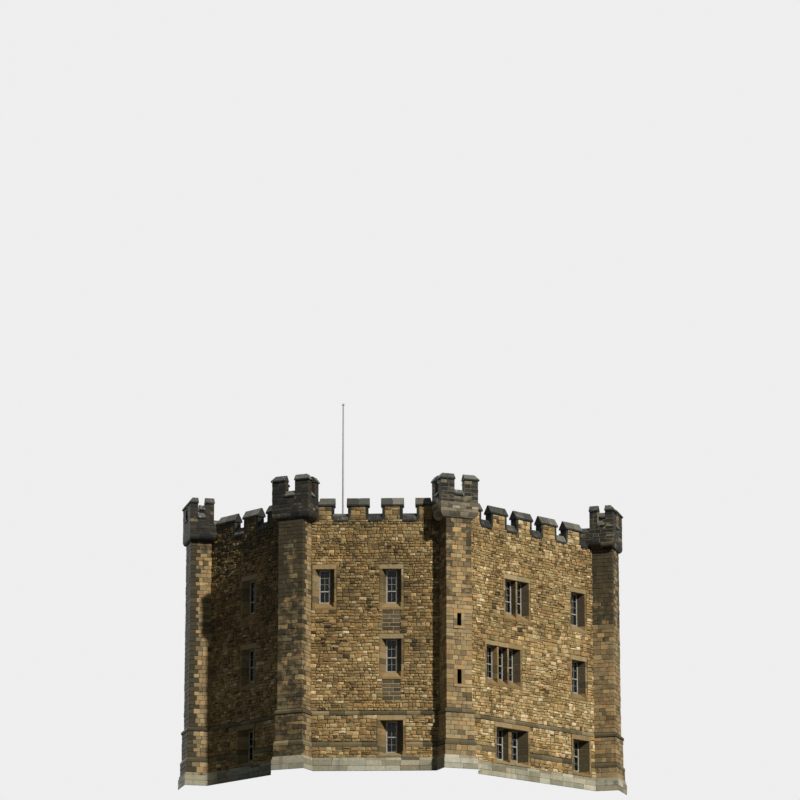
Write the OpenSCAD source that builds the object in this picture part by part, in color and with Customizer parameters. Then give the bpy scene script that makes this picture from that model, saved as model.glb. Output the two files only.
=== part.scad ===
// Castle keep: an eight-sided stone tower house with corner buttresses,
// corbelled corner turrets and crenellated parapets.
// The front face looks along -Y, +Z is up, and the ground is at z = 0.

/* [Faces of the plan] */
// Length of the front face between its two corners
front_len = 8560; // [7600:10:9600]
// Length of the right face
right_len = 11700; // [11450:10:12400]
// Length of the right side face
right_side_len = 6000; // [5200:10:6800]
// Length of the back right face
back_right_len = 5500; // [4900:10:6200]
// Length of the left side face
left_side_len = 9000; // [8300:10:9700]
// Length of the left face
left_len = 7970; // [7700:10:8400]
// Turn of the right face away from the front face, in degrees
right_turn = 45; // [40:1:50]
// Turn of the right side face away from the front face, in degrees
right_side_turn = 104; // [100:1:108]
// Turn of the back right face away from the front face, in degrees
back_right_turn = 142; // [139:0.5:146]
// Turn of the back left face to the other side, in degrees
back_left_turn = 142; // [139:0.5:146]
// Turn of the left side face to the other side, in degrees
left_side_turn = 104; // [100:1:108]
// Turn of the left face to the other side, in degrees
left_turn = 45; // [40:1:50]

/* [Walls] */
// Thickness of the main walls above the string course
wall_t = 1200; // [900:10:1500]
// Height of the wall walk and of the roof deck
walk_z = 12900; // [12700:10:13100]
// How far the wall below the string course stands proud of the wall above it
mid_out = 85; // [50:5:110]
// How far the wall below the ledge course stands proud of the upper wall
low_out = 150; // [125:5:190]
// How far the base plinth stands proud of the upper wall
plinth_out = 260; // [220:5:320]
// Height of the base plinth
plinth_h = 720; // [600:10:735]
// Height of the plinth's lower course of blocks
plinth_low_h = 560; // [450:10:580]
// Setback of the plinth's top course
plinth_step = 40; // [20:5:60]
// Mortar joint between the stones of the plinth and of the window surrounds
mortar_joint = 4; // [2:1:10]

/* [Projecting courses] */
// Height of the underside of the ledge course
ledge_z = 1300; // [1200:10:1400]
// Height of the ledge course's upright front
ledge_front_h = 150; // [100:10:200]
// Height of the ledge course's sloping top
ledge_slope_h = 160; // [100:10:220]
// How far the ledge course stands proud of the wall under it
ledge_lip = 35; // [15:5:60]
// Height of the underside of the string course
string_z = 3050; // [3045:5:3150]
// Height of the string course's upright front
string_front_h = 140; // [100:10:180]
// Height of the string course's sloping top
string_slope_h = 120; // [80:10:160]
// How far the string course stands proud of the wall under it
string_lip = 70; // [40:5:100]

/* [Corner buttresses] */
// Width of a buttress
buttress_w = 1440; // [1300:10:1560]
// How far a buttress stands out from the corner it covers
buttress_out = 780; // [650:10:860]
// Width of the slit windows in the front right buttress
slit_w = 240; // [180:10:300]
// Height of the sill of the lower slit window
low_slit_z = 4620; // [4450:10:4800]
// Height of the lower slit window
low_slit_h = 800; // [650:10:900]
// Height of the sill of the upper slit window
high_slit_z = 7820; // [7700:10:7900]
// Height of the upper slit window
high_slit_h = 690; // [550:10:800]

/* [Parapets] */
// Thickness of the parapets
parapet_t = 420; // [360:10:480]
// Height at which the parapet gaps and the turret corbels start
parapet_z = 13780; // [13680:10:13880]
// Height of the underside of the merlon copings
merlon_z = 14650; // [14550:10:14750]
// Width of a gap between two merlons
crenel_w = 780; // [650:10:860]
// Distance from one gap to the next on the shorter faces
crenel_pitch = 1880; // [1750:10:2000]
// Distance from one gap to the next on the left and right faces
slant_pitch = 1970; // [1900:10:2050]
// Length of the right face's merlon beside the front right turret
right_first = 950; // [750:10:1100]
// Length of the left face's merlon beside the front left turret
left_last = 1300; // [1200:10:1400]

/* [Copings] */
// Overhang of the parapet copings on each side of the wall
coping_lip = 80; // [50:5:110]
// Height of a parapet coping's upright edge
coping_edge = 100; // [70:5:130]
// Rise of a parapet coping from its edge to its ridge
coping_rise = 400; // [320:10:440]
// Width of the flat on a coping's ridge
ridge_w = 70; // [40:5:100]
// Overhang of the turret copings on each side of the wall
turret_lip = 70; // [40:5:100]
// Overhang of the turret copings into the gaps
turret_end_lip = 25; // [0:5:40]
// Height of a turret coping's upright edge
turret_edge = 80; // [50:5:110]
// Rise of a turret coping from its edge to its ridge
turret_rise = 270; // [200:10:320]

/* [Corner turrets] */
// Width of a turret
turret_w = 2170; // [2080:10:2250]
// How far a turret's front stands out from the corner
turret_out = 930; // [870:10:990]
// Thickness of a turret's walls
turret_t = 350; // [300:10:400]
// Height of the curved corbel course under a turret
corbel_h = 340; // [280:10:400]
// Number of flats that round the corbel course
corbel_steps = 6; // [4:1:8]
// Height of the underside of the sills in the turret gaps
turret_sill_z = 15030; // [14900:10:15150]
// Height of the underside of the turret copings
turret_merlon_z = 15910; // [15750:10:16100]
// Width of the gap in a turret's front
turret_gap_w = 580; // [500:10:640]
// Width of the gap in each flank of a turret
flank_gap_w = 430; // [380:10:480]
// Length of the merlon on a flank in front of its gap
flank_merlon = 440; // [420:10:480]
// Length of the merlon on a flank behind its gap
rear_merlon = 480; // [420:10:500]

/* [Windows] */
// Height of the ground storey window frames
ground_win_h = 1710; // [1600:10:1710]
// Height of the foot of the ground storey window frames
ground_win_z = 1050; // [1040:5:1060]
// Height of the first floor window frames
first_win_h = 1810; // [1700:10:1950]
// Height of the foot of the first floor window frames
first_win_z = 5460; // [5350:10:5550]
// Height of the second floor window frames
second_win_h = 1850; // [1700:10:1950]
// Height of the foot of the second floor window frames
second_win_z = 9290; // [9150:10:9400]
// Width of a single window's frame
single_w = 600; // [540:10:680]
// Width of each light in the right face's upper window
upper_pair_w = 560; // [500:10:620]
// Width of each light in the right face's middle window
triple_w = 550; // [500:10:600]
// Width of each light in the right face's ground storey window
ground_pair_w = 640; // [560:10:700]
// Width of a stone mullion of the upper windows
mullion_w = 240; // [180:10:280]
// Width of the stone mullion of the right face's ground storey window
ground_mullion_w = 480; // [400:10:540]
// Width of the sloped jambs of the ground storey windows
ground_splay = 300; // [250:10:340]
// Width of the sloped jambs of the upper windows
upper_splay = 200; // [150:10:240]
// Flat margin of dressed stone beside a sloped jamb
jamb_margin = 170; // [120:10:200]
// Height of the lintel over a window
lintel_h = 270; // [200:5:275]
// Height of the sill stones of the ground storey windows
ground_sill_h = 300; // [280:5:300]
// Height of the sill stones of the upper windows
upper_sill_h = 430; // [400:10:460]
// Drop of a ground storey sill's sloping top towards its front
ground_sill_drop = 200; // [150:10:220]
// Drop of an upper window sill's sloping top towards its front
upper_sill_drop = 300; // [250:10:330]
// How far a sill stone stands proud of the wall
sill_lip = 40; // [20:5:60]
// Depth from the upper wall's face to the window frame
reveal = 350; // [280:10:420]
// Depth of a window frame
frame_d = 110; // [80:5:140]
// Width of a window frame's sides
frame_w = 70; // [50:5:90]
// Height of the meeting rail between the sashes
rail_h = 60; // [40:5:80]
// Middle of the meeting rail on the ground storey, as a part of the frame's height
ground_rail = 0.5; // [0.45:0.01:0.55]
// Middle of the meeting rail on the first floor, as a part of the frame's height
first_rail = 0.45; // [0.4:0.01:0.5]
// Middle of the meeting rail on the second floor, as a part of the frame's height
second_rail = 0.36; // [0.32:0.01:0.42]
// Thickness of the glass
glass_t = 12; // [8:1:20]

/* [Window places] */
// Centre of the front face's left window from the left corner
front_left_win = 1510; // [1450:10:1600]
// Centre of the front face's right windows from the left corner
front_right_win = 5170; // [5000:10:5350]
// Centre of the right face's upper wide window from its near corner
right_upper_win = 4880; // [4700:10:5050]
// Centre of the right face's middle wide window from its near corner
right_middle_win = 3790; // [3700:10:3950]
// Centre of the right face's ground storey wide window from its near corner
right_ground_win = 4290; // [4150:10:4450]
// Centre of the right face's far windows from its near corner
right_far_win = 9700; // [9550:10:9750]
// Half the distance between the two windows on the left side face
side_win_half = 1900; // [1700:10:2100]

/* [Floors and roof] */
// Thickness of the ground floor's paving
ground_floor_t = 300; // [200:10:450]
// Height of the first floor
first_floor_z = 4200; // [4000:10:4400]
// Height of the second floor
second_floor_z = 8100; // [7900:10:8300]
// Thickness of the upper floors
floor_t = 300; // [220:10:380]
// Thickness of the roof deck
roof_t = 250; // [180:10:320]

/* [Flagpole] */
// Distance of the flagpole from the front left corner along the front face
pole_x = 2430; // [2350:10:2520]
// Distance of the flagpole behind the front face
pole_y = 1650; // [1550:10:1800]
// Height of the flagpole's top above the ground
pole_top_z = 20900; // [20000:10:21800]
// Diameter of the flagpole at its foot
pole_foot_d = 120; // [90:5:150]
// Diameter of the flagpole at its top
pole_top_d = 80; // [60:5:85]
// Side of the block that the flagpole stands in
pole_block_w = 500; // [400:10:600]
// Height of the block that the flagpole stands in
pole_block_h = 350; // [250:10:450]
// Diameter of the round cap on the flagpole
pole_cap_d = 150; // [110:5:180]

/* [Hidden] */
$fn = 48;

// Faces and corners count round the plan from the front face to the right.
// Corner i is where face i starts, as seen from outside, left to right.
FRONT = 0;
RIGHT = 1;
RIGHT_SIDE = 2;
BACK_RIGHT = 3;
BACK = 4;
BACK_LEFT = 5;
LEFT_SIDE = 6;
LEFT = 7;
SIDES = 8;
GROUND = 0;
FIRST = 1;
SECOND = 2;
through = 4000;
clear_cut = 10;
// Parts of a mullion's width left at its nose, and of the reveal before it
mullion_nose = 0.5;
mullion_setback = 0.15;

face_turn = [
    0, right_turn, right_side_turn, back_right_turn, 180,
    360 - back_left_turn, 360 - left_side_turn, 360 - left_turn
];

function wrap(i) = (i + SIDES) % SIDES;
function along(i) = [cos(face_turn[i]), sin(face_turn[i])];
function cross_z(a, b) = a.x * b.y - a.y * b.x;

// The back and back left faces close the plan.
open_run = front_len * along(FRONT) + right_len * along(RIGHT)
    + right_side_len * along(RIGHT_SIDE) + back_right_len * along(BACK_RIGHT)
    + left_side_len * along(LEFT_SIDE) + left_len * along(LEFT);
closing_turn = cross_z(along(BACK), along(BACK_LEFT));
back_len = -cross_z(open_run, along(BACK_LEFT)) / closing_turn;
back_left_len = -cross_z(along(BACK), open_run) / closing_turn;
face_len = [
    front_len, right_len, right_side_len, back_right_len,
    back_len, back_left_len, left_side_len, left_len
];

function first_corner(i) = i == 0
    ? [0, 0]
    : first_corner(i - 1) + face_len[i - 1] * along(i - 1);
function half_turn(i) = ((face_turn[i] - face_turn[wrap(i - 1)] + 360) % 360) / 2;
function facing(i) = face_turn[i] - half_turn(i);
function ahead(i) = [sin(facing(i)), -cos(facing(i))];
function sideways(i) = [cos(facing(i)), sin(facing(i))];

// Where a buttress's side, grown by g, meets the wall's face, grown by g
function side_foot(i, g) =
    (g - sin(half_turn(i)) * (buttress_w / 2 + g)) / cos(half_turn(i));
function buttress_points(i, g, c) = [
    c - sideways(i) * (buttress_w / 2 + g) + ahead(i) * side_foot(i, g),
    c - sideways(i) * (buttress_w / 2 + g) + ahead(i) * (buttress_out + g),
    c + sideways(i) * (buttress_w / 2 + g) + ahead(i) * (buttress_out + g),
    c + sideways(i) * (buttress_w / 2 + g) + ahead(i) * side_foot(i, g)
];

// The plinth and the turrets reach furthest out, and the middle of the plan
// between them is the origin.
reach = turret_out + turret_lip;
half_reach = turret_w / 2 + turret_lip;
reach_points = [
    for (i = [0 : SIDES - 1])
        for (p = buttress_points(i, plinth_out, first_corner(i))) p,
    for (i = [0 : SIDES - 1])
        for (side = [-1, 1])
            first_corner(i) + ahead(i) * reach + sideways(i) * side * half_reach
];
reach_xs = [for (p = reach_points) p.x];
reach_ys = [for (p = reach_points) p.y];
plan_middle = [
    (min(reach_xs) + max(reach_xs)) / 2,
    (min(reach_ys) + max(reach_ys)) / 2
];

function corner(i) = first_corner(wrap(i)) - plan_middle;
function grown_corner(i, g) = corner(i)
    + ahead(wrap(i)) * g / cos(half_turn(wrap(i)));
function outline(g) = [
    for (i = [0 : SIDES - 1]) for (p = buttress_points(i, g, corner(i))) p
];
function inner_outline(g) = [for (i = [0 : SIDES - 1]) grown_corner(i, -g)];

// Windows: face, storey, centre along the face, width of a light, lights
windows = [
    [FRONT, SECOND, front_left_win, single_w, 1],
    [FRONT, SECOND, front_right_win, single_w, 1],
    [FRONT, FIRST, front_right_win, single_w, 1],
    [FRONT, GROUND, front_right_win, single_w, 1],
    [RIGHT, SECOND, right_upper_win, upper_pair_w, 2],
    [RIGHT, FIRST, right_middle_win, triple_w, 3],
    [RIGHT, GROUND, right_ground_win, ground_pair_w, 2],
    for (storey = [GROUND : SECOND]) [RIGHT, storey, right_far_win, single_w, 1],
    for (face = [RIGHT_SIDE, BACK_RIGHT, BACK, BACK_LEFT, LEFT])
        for (storey = [GROUND : SECOND]) [face, storey, face_len[face] / 2, single_w, 1],
    for (side = [-1, 1])
        for (storey = [GROUND : SECOND])
            [LEFT_SIDE, storey, left_side_len / 2 + side * side_win_half, single_w, 1]
];
win_z = [ground_win_z, first_win_z, second_win_z];
win_h = [ground_win_h, first_win_h, second_win_h];
win_splay = [ground_splay, upper_splay, upper_splay];
win_mullion = [ground_mullion_w, mullion_w, mullion_w];
win_sill_h = [ground_sill_h, upper_sill_h, upper_sill_h];
win_sill_drop = [ground_sill_drop, upper_sill_drop, upper_sill_drop];
win_front = [-low_out, 0, 0];
win_rail = [ground_rail, first_rail, second_rail];

function win_w(win) = win[4] * win[3] + (win[4] - 1) * win_mullion[win[1]];
function surround_w(win) = win_w(win) + 2 * (win_splay[win[1]] + jamb_margin);
function light_x(win, k) = (k - (win[4] - 1) / 2) * (win[3] + win_mullion[win[1]]);

// Parapets: where the run between two turrets starts and ends, and its gaps.
// The runs on the left and right faces start their gaps beside the front.
turret_half = turret_w / 2;
function run_start(i) = turret_half / cos(half_turn(i));
function run_end(i) = face_len[i] - turret_half / cos(half_turn(wrap(i + 1)));
function run_len(i) = run_end(i) - run_start(i);
least_end = 0.3;
function gaps(i) =
    i == RIGHT ? ceil((run_len(i) - right_first) / slant_pitch)
    : i == LEFT ? floor((run_len(i) - left_last) / slant_pitch)
    : floor((run_len(i) + crenel_pitch - crenel_w) / crenel_pitch - least_end);
function pitch(i) = i == RIGHT || i == LEFT ? slant_pitch : crenel_pitch;
function gaps_len(i) = crenel_w + (gaps(i) - 1) * pitch(i);
function first_merlon(i) =
    i == RIGHT ? right_first
    : i == LEFT ? run_len(i) - left_last - gaps_len(i)
    : (run_len(i) - gaps_len(i)) / 2;
function gap_x(i, k) = run_start(i) + first_merlon(i) + k * pitch(i);

corbel_top_z = parapet_z + corbel_h;
// Where the gap and the merlon behind it end on a turret's flank
gap_y = -turret_out + flank_merlon;
rear_y = gap_y + flank_gap_w;
rear_end_y = rear_y + rear_merlon;
// Distance from the corner back to a turret's open back
function turret_back(i) = (turret_half + parapet_t * sin(half_turn(i))) * tan(half_turn(i))
    + parapet_t * cos(half_turn(i));

// Places a piece on a face: x runs along the face, y runs inward
module on_face(i) {
    translate([corner(i).x, corner(i).y, 0])
        rotate(face_turn[i])
            children();
}

// Places a piece on a corner: x runs across the buttress, y runs inward
module on_corner(i) {
    translate([corner(i).x, corner(i).y, 0])
        rotate(facing(i))
            children();
}

module prism(points, z0, z1) {
    translate([0, 0, z0])
        linear_extrude(z1 - z0)
            polygon(points);
}

module block(x0, x1, y0, y1, z0, z1) {
    translate([x0, y0, z0])
        cube([x1 - x0, y1 - y0, z1 - z0]);
}

module window_cut(win) {
    storey = win[1];
    z0 = win_z[storey];
    z1 = z0 + win_h[storey];
    translate([win[2], 0, 0]) {
        block(-surround_w(win) / 2, surround_w(win) / 2, -plinth_out - clear_cut, reveal,
            z0 - win_sill_h[storey], z1 + lintel_h);
        block(-win_w(win) / 2, win_w(win) / 2, 0, wall_t + clear_cut, z0, z1);
    }
}

module slit_cuts() {
    on_corner(RIGHT) {
        block(-slit_w / 2, slit_w / 2, -buttress_out - clear_cut, through,
            low_slit_z, low_slit_z + low_slit_h);
        block(-slit_w / 2, slit_w / 2, -buttress_out - clear_cut, through,
            high_slit_z, high_slit_z + high_slit_h);
    }
}

// Plan of a piece on a face from depth y0 to depth y1. Its ends follow the
// mitres of the two corners, and start and end are where they cross the face.
function mitred_plan(i, start, end, y0, y1) = [
    [start + y0 * tan(half_turn(i)), y0],
    [end - y0 * tan(half_turn(wrap(i + 1))), y0],
    [end - y1 * tan(half_turn(wrap(i + 1))), y1],
    [start + y1 * tan(half_turn(i)), y1]
];

module wall(i) {
    section = [
        [-low_out, 0], [wall_t, 0], [wall_t, walk_z], [0, walk_z],
        [0, string_z], [-mid_out, string_z], [-mid_out, ledge_z], [-low_out, ledge_z]
    ];
    color("peru")
    difference() {
        on_face(i)
            intersection() {
                translate([-through, 0, 0])
                    rotate([90, 0, 90])
                        linear_extrude(face_len[i] + 2 * through)
                            polygon(section);
                prism(mitred_plan(i, 0, face_len[i], -plinth_out, wall_t + clear_cut),
                    -clear_cut, walk_z + clear_cut);
            }
        on_face(i)
            for (win = windows)
                if (win[0] == i) window_cut(win);
        if (i == FRONT || i == RIGHT) slit_cuts();
    }
}

function buttress_plan(i, g) = concat(buttress_points(i, g, corner(i)), [grown_corner(i, g)]);

module buttress(i) {
    color("burlywood")
    difference() {
        union() {
            prism(buttress_plan(i, low_out), 0, ledge_z);
            prism(buttress_plan(i, mid_out), ledge_z, string_z);
            prism(buttress_plan(i, 0), string_z, parapet_z);
        }
        if (i == RIGHT) slit_cuts();
    }
}

// Plan of the parapet between two turrets, from depth y0 to depth y1
function run_plan(i, y0, y1) = mitred_plan(i, run_start(i), run_end(i), y0, y1);

module parapet(i) {
    color("tan")
        on_face(i) {
            prism(mitred_plan(i, 0, face_len[i], 0, parapet_t), walk_z, parapet_z);
            difference() {
                prism(run_plan(i, 0, parapet_t), parapet_z, merlon_z);
                for (k = [0 : gaps(i) - 1])
                    block(gap_x(i, k), gap_x(i, k) + crenel_w, -clear_cut,
                        parapet_t + clear_cut, parapet_z, merlon_z + clear_cut);
            }
        }
}

// Gabled section of a coping over a wall from y = 0 to y = t
function coping_section(t, lip, edge, rise) = [
    [-lip, 0], [t + lip, 0], [t + lip, edge],
    [(t + ridge_w) / 2, edge + rise], [(t - ridge_w) / 2, edge + rise], [-lip, edge]
];

module coping(x0, x1, t, lip, edge, rise) {
    translate([x0, 0, 0])
        rotate([90, 0, 90])
            linear_extrude(x1 - x0)
                polygon(coping_section(t, lip, edge, rise));
}

module face_copings(i) {
    on_face(i)
        intersection() {
            prism(run_plan(i, -coping_lip, parapet_t + coping_lip), parapet_z,
                merlon_z + coping_edge + coping_rise);
            union() {
                for (k = [0 : gaps(i) - 1])
                    translate([0, 0, parapet_z])
                        coping(gap_x(i, k), gap_x(i, k) + crenel_w, parapet_t,
                            coping_lip, coping_edge, coping_rise);
                for (k = [0 : gaps(i)])
                    let(from = k == 0 ? -through : gap_x(i, k - 1) + crenel_w - coping_lip,
                        to = k == gaps(i) ? face_len[i] + through : gap_x(i, k) + coping_lip)
                        translate([0, 0, merlon_z])
                            coping(from, to, parapet_t, coping_lip, coping_edge, coping_rise);
            }
        }
}

module parapet_copings() {
    color("dimgray")
    for (i = [0 : SIDES - 1]) face_copings(i);
}

// The curved corbel course carries a turret out over its buttress. Behind it
// the same block fills the corner over the parapets, up to the turret's floor.
module corbel(i) {
    grow_side = turret_half - buttress_w / 2;
    grow_front = turret_out - buttress_out;
    back = turret_back(i);
    rings = [
        for (k = [0 : corbel_steps])
            let(a = 90 * k / corbel_steps,
                half = buttress_w / 2 + grow_side * sin(a),
                front = -buttress_out - grow_front * sin(a),
                z = parapet_z + corbel_h * (1 - cos(a)))
                [[-half, front, z], [half, front, z], [half, back, z], [-half, back, z]]
    ];
    points = [for (ring = rings) for (p = ring) p];
    top = 4 * corbel_steps;
    sides = [
        for (k = [0 : corbel_steps - 1])
            for (j = [0 : 3])
                let(next = (j + 1) % 4)
                    [4 * k + j, 4 * (k + 1) + j, 4 * (k + 1) + next, 4 * k + next]
    ];
    wall_y = turret_half * tan(half_turn(i));
    on_corner(i) {
        polyhedron(points, concat([[0, 1, 2, 3]], sides, [[top + 3, top + 2, top + 1, top]]));
        prism([
            [0, 0], [turret_half, wall_y], [turret_half, back],
            [-turret_half, back], [-turret_half, wall_y]
        ], parapet_z, corbel_top_z);
        prism([
            [0, parapet_t / cos(half_turn(i))], [turret_half, back], [-turret_half, back]
        ], walk_z, parapet_z);
    }
}

module turret_corbels() {
    color("darkgray")
    for (i = [0 : SIDES - 1]) corbel(i);
}

// A turret stands on its corbel course and is open towards the roof. Its
// flanks drop to the height of the parapets where they meet them.
module turret(i) {
    inside = turret_half - turret_t;
    back = turret_back(i);
    color("gray")
    on_corner(i)
        difference() {
            block(-turret_half, turret_half, -turret_out, back, corbel_top_z, turret_merlon_z);
            block(-inside, inside, -turret_out + turret_t, back + clear_cut,
                corbel_top_z - clear_cut, turret_merlon_z + clear_cut);
            block(-turret_gap_w / 2, turret_gap_w / 2, -turret_out - clear_cut,
                -turret_out + turret_t + clear_cut, turret_sill_z, turret_merlon_z + clear_cut);
            block(-turret_half - clear_cut, turret_half + clear_cut, gap_y,
                rear_y, turret_sill_z, turret_merlon_z + clear_cut);
            block(-turret_half - clear_cut, turret_half + clear_cut, rear_end_y,
                back + clear_cut, merlon_z, turret_merlon_z + clear_cut);
        }
}

module turret_ridge(x0, x1, lip = turret_lip) {
    coping(x0, x1, turret_t, lip, turret_edge, turret_rise);
}

// Copings of the merlon that turns the front right corner of a turret: two
// stones that meet in a mitre over the corner
module corner_coping() {
    near_x = turret_gap_w / 2 - turret_end_lip;
    far_x = turret_half + turret_lip;
    inner_x = turret_half - turret_t - turret_lip;
    front_y = -turret_out - turret_lip;
    inner_y = -turret_out + turret_t + turret_lip;
    end_y = gap_y + turret_end_lip;
    top = turret_edge + turret_rise;
    intersection() {
        translate([0, -turret_out, 0]) turret_ridge(near_x, far_x);
        prism([[near_x, front_y], [far_x, front_y], [inner_x, inner_y], [near_x, inner_y]], 0, top);
    }
    intersection() {
        translate([turret_half, front_y, 0]) rotate(90) turret_ridge(0, end_y - front_y);
        prism([
            [far_x, front_y + mortar_joint], [far_x, end_y],
            [inner_x, end_y], [inner_x, inner_y + mortar_joint]
        ], 0, top);
    }
}

module half_turret_copings(i) {
    translate([0, 0, turret_merlon_z]) {
        corner_coping();
        translate([turret_half, 0, 0])
            rotate(90)
                turret_ridge(rear_y - turret_end_lip, rear_end_y + turret_end_lip);
    }
    translate([turret_half, 0, turret_sill_z])
        rotate(90)
            turret_ridge(gap_y, rear_y);
    translate([turret_half, 0, merlon_z])
        rotate(90)
            turret_ridge(rear_end_y, turret_back(i), 0);
}

module turret_copings() {
    color("dimgray")
    for (i = [0 : SIDES - 1])
        on_corner(i) {
            half_turret_copings(i);
            mirror([1, 0, 0]) half_turret_copings(i);
            translate([0, -turret_out, turret_sill_z])
                turret_ridge(-turret_gap_w / 2, turret_gap_w / 2);
        }
}

// A course whose section, given as pairs of growth and height, follows the
// walls and buttresses all round
module course(section) {
    loops = [for (s = section) outline(s.x)];
    count = len(loops[0]);
    rows = len(section);
    points = [for (r = [0 : rows - 1]) for (p = loops[r]) [p.x, p.y, section[r].y]];
    faces = [
        for (r = [0 : rows - 1])
            for (j = [0 : count - 1])
                let(up = (r + 1) % rows, next = (j + 1) % count)
                    [r * count + j, up * count + j, up * count + next, r * count + next]
    ];
    polyhedron(points, faces);
}

module projecting_courses() {
    ledge_out = low_out + ledge_lip;
    string_out = mid_out + string_lip;
    color("darkslategray") {
        difference() {
            course([
                [mid_out, ledge_z], [ledge_out, ledge_z], [ledge_out, ledge_z + ledge_front_h],
                [mid_out, ledge_z + ledge_front_h + ledge_slope_h]
            ]);
            for (win = windows)
                if (win[1] == GROUND)
                    on_face(win[0])
                        translate([win[2], 0, 0])
                            block(-surround_w(win) / 2, surround_w(win) / 2,
                                -plinth_out - clear_cut, 0, 0, string_z);
        }
        course([
            [0, string_z], [string_out, string_z], [string_out, string_z + string_front_h],
            [0, string_z + string_front_h + string_slope_h]
        ]);
    }
}

// One course of the plinth: a length for each face and three round each
// buttress, mitred where they meet
module plinth_course(g, z0, z1) {
    for (i = [0 : SIDES - 1]) {
        outer = buttress_points(i, g, corner(i));
        inner = buttress_points(i, low_out, corner(i));
        mitre_joint = sideways(i) * mortar_joint;
        prism([outer[0], outer[1], inner[1], inner[0]], z0, z1);
        prism([
            outer[1] + mitre_joint, outer[2] - mitre_joint,
            inner[2] - mitre_joint, inner[1] + mitre_joint
        ], z0, z1);
        prism([outer[2], outer[3], inner[3], inner[2]], z0, z1);
        next_outer = buttress_points(wrap(i + 1), g, corner(i + 1));
        next_inner = buttress_points(wrap(i + 1), low_out, corner(i + 1));
        joint = along(i) * mortar_joint;
        prism([outer[3] + joint, next_outer[0] - joint, next_inner[0] - joint, inner[3] + joint],
            z0, z1);
    }
}

module base_plinth() {
    color("lightgray") {
        plinth_course(plinth_out, 0, plinth_low_h);
        plinth_course(plinth_out - plinth_step, plinth_low_h + mortar_joint, plinth_h);
    }
}

// A sill stone. Its top slopes down to the front under each light, and stays
// level under the jambs and mullions that stand on it.
module window_sill(win) {
    storey = win[1];
    y0 = win_front[storey];
    z0 = win_z[storey];
    outer = surround_w(win) / 2;
    side = win[3] / 2;
    cut_y = y0 - sill_lip - clear_cut;
    difference() {
        block(-outer, outer, y0 - sill_lip, reveal, z0 - win_sill_h[storey], z0);
        for (k = [0 : win[4] - 1])
            let(left = k == 0 ? side + win_splay[storey] : side,
                right = k == win[4] - 1 ? side + win_splay[storey] : side)
                translate([light_x(win, k), 0, 0])
                    intersection() {
                        prism([
                            [-left, cut_y], [right, cut_y], [right, y0],
                            [side, reveal], [-side, reveal], [-left, y0]
                        ], z0 - win_sill_h[storey], z0 + clear_cut);
                        translate([-outer, 0, z0])
                            rotate([90, 0, 90])
                                linear_extrude(2 * outer)
                                    polygon([
                                        [cut_y, -win_sill_drop[storey]], [reveal, 0],
                                        [reveal, clear_cut], [cut_y, clear_cut]
                                    ]);
                    }
    }
}

// A sill, a lintel, two sloped jambs and the mullions, each a stone of its own
module window_surround(win) {
    storey = win[1];
    y0 = win_front[storey];
    z0 = win_z[storey];
    z1 = z0 + win_h[storey];
    foot_z = z0 + mortar_joint;
    head_z = z1 - mortar_joint;
    outer = surround_w(win) / 2;
    half = win_w(win) / 2;
    splay = win_splay[storey];
    mullion_half = win_mullion[storey] / 2;
    nose = mullion_half * mullion_nose;
    nose_y = reveal * mullion_setback;
    translate([win[2], 0, 0]) {
        window_sill(win);
        block(-outer, outer, y0, reveal, z1, z1 + lintel_h);
        for (side = [-1, 1])
            prism([
                [side * outer, y0], [side * (half + splay), y0],
                [side * half, reveal], [side * outer, reveal]
            ], foot_z, head_z);
        if (win[4] > 1)
            for (k = [1 : win[4] - 1])
                translate([light_x(win, k) - win[3] / 2 - mullion_half, 0, 0])
                    prism([
                        [-nose, nose_y], [nose, nose_y],
                        [mullion_half, reveal], [-mullion_half, reveal]
                    ], foot_z, head_z);
    }
}

module window_surrounds() {
    color("wheat")
    for (win = windows) on_face(win[0]) window_surround(win);
}

module window_sash(win) {
    z0 = win_z[win[1]];
    z1 = z0 + win_h[win[1]];
    middle = z0 + win_h[win[1]] * win_rail[win[1]];
    half = win_w(win) / 2;
    light = win[3] / 2 - frame_w;
    translate([win[2], 0, 0]) {
        difference() {
            block(-half, half, reveal, reveal + frame_d, z0, z1);
            for (k = [0 : win[4] - 1])
                translate([light_x(win, k), 0, 0])
                    block(-light, light, reveal - clear_cut, reveal + frame_d + clear_cut,
                        z0 + frame_w, z1 - frame_w);
        }
        for (k = [0 : win[4] - 1])
            translate([light_x(win, k), 0, 0])
                block(-light, light, reveal, reveal + frame_d / 2,
                    middle - rail_h / 2, middle + rail_h / 2);
    }
}

module window_sashes() {
    color("white")
    for (win = windows) on_face(win[0]) window_sash(win);
}

module window_glass() {
    color("lightblue")
    for (win = windows)
        on_face(win[0])
            for (k = [0 : win[4] - 1])
                translate([win[2] + light_x(win, k), reveal + frame_d / 2, win_z[win[1]]])
                    block(frame_w - win[3] / 2, win[3] / 2 - frame_w, 0, glass_t,
                        frame_w, win_h[win[1]] - frame_w);
}

module floor_slab(top_z, t, shade) {
    color(shade) prism(inner_outline(wall_t), top_z - t, top_z);
}

// The tapered pole and its round cap are one turned piece.
module flagpole() {
    foot_z = walk_z + pole_block_h;
    cap_z = pole_top_z - pole_cap_d / 2;
    neck_angle = -acos(pole_top_d / pole_cap_d);
    cap_steps = 10;
    profile = concat(
        [[0, foot_z], [pole_foot_d / 2, foot_z]],
        [
            for (k = [0 : cap_steps - 1])
                let(a = neck_angle + (90 - neck_angle) * k / cap_steps)
                    [cos(a) * pole_cap_d / 2, cap_z + sin(a) * pole_cap_d / 2]
        ],
        [[0, pole_top_z]]
    );
    color("white")
    on_face(FRONT)
        translate([pole_x, pole_y, 0]) {
            block(-pole_block_w / 2, pole_block_w / 2, -pole_block_w / 2, pole_block_w / 2,
                walk_z, foot_z);
            rotate_extrude()
                polygon(profile);
        }
}

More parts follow.
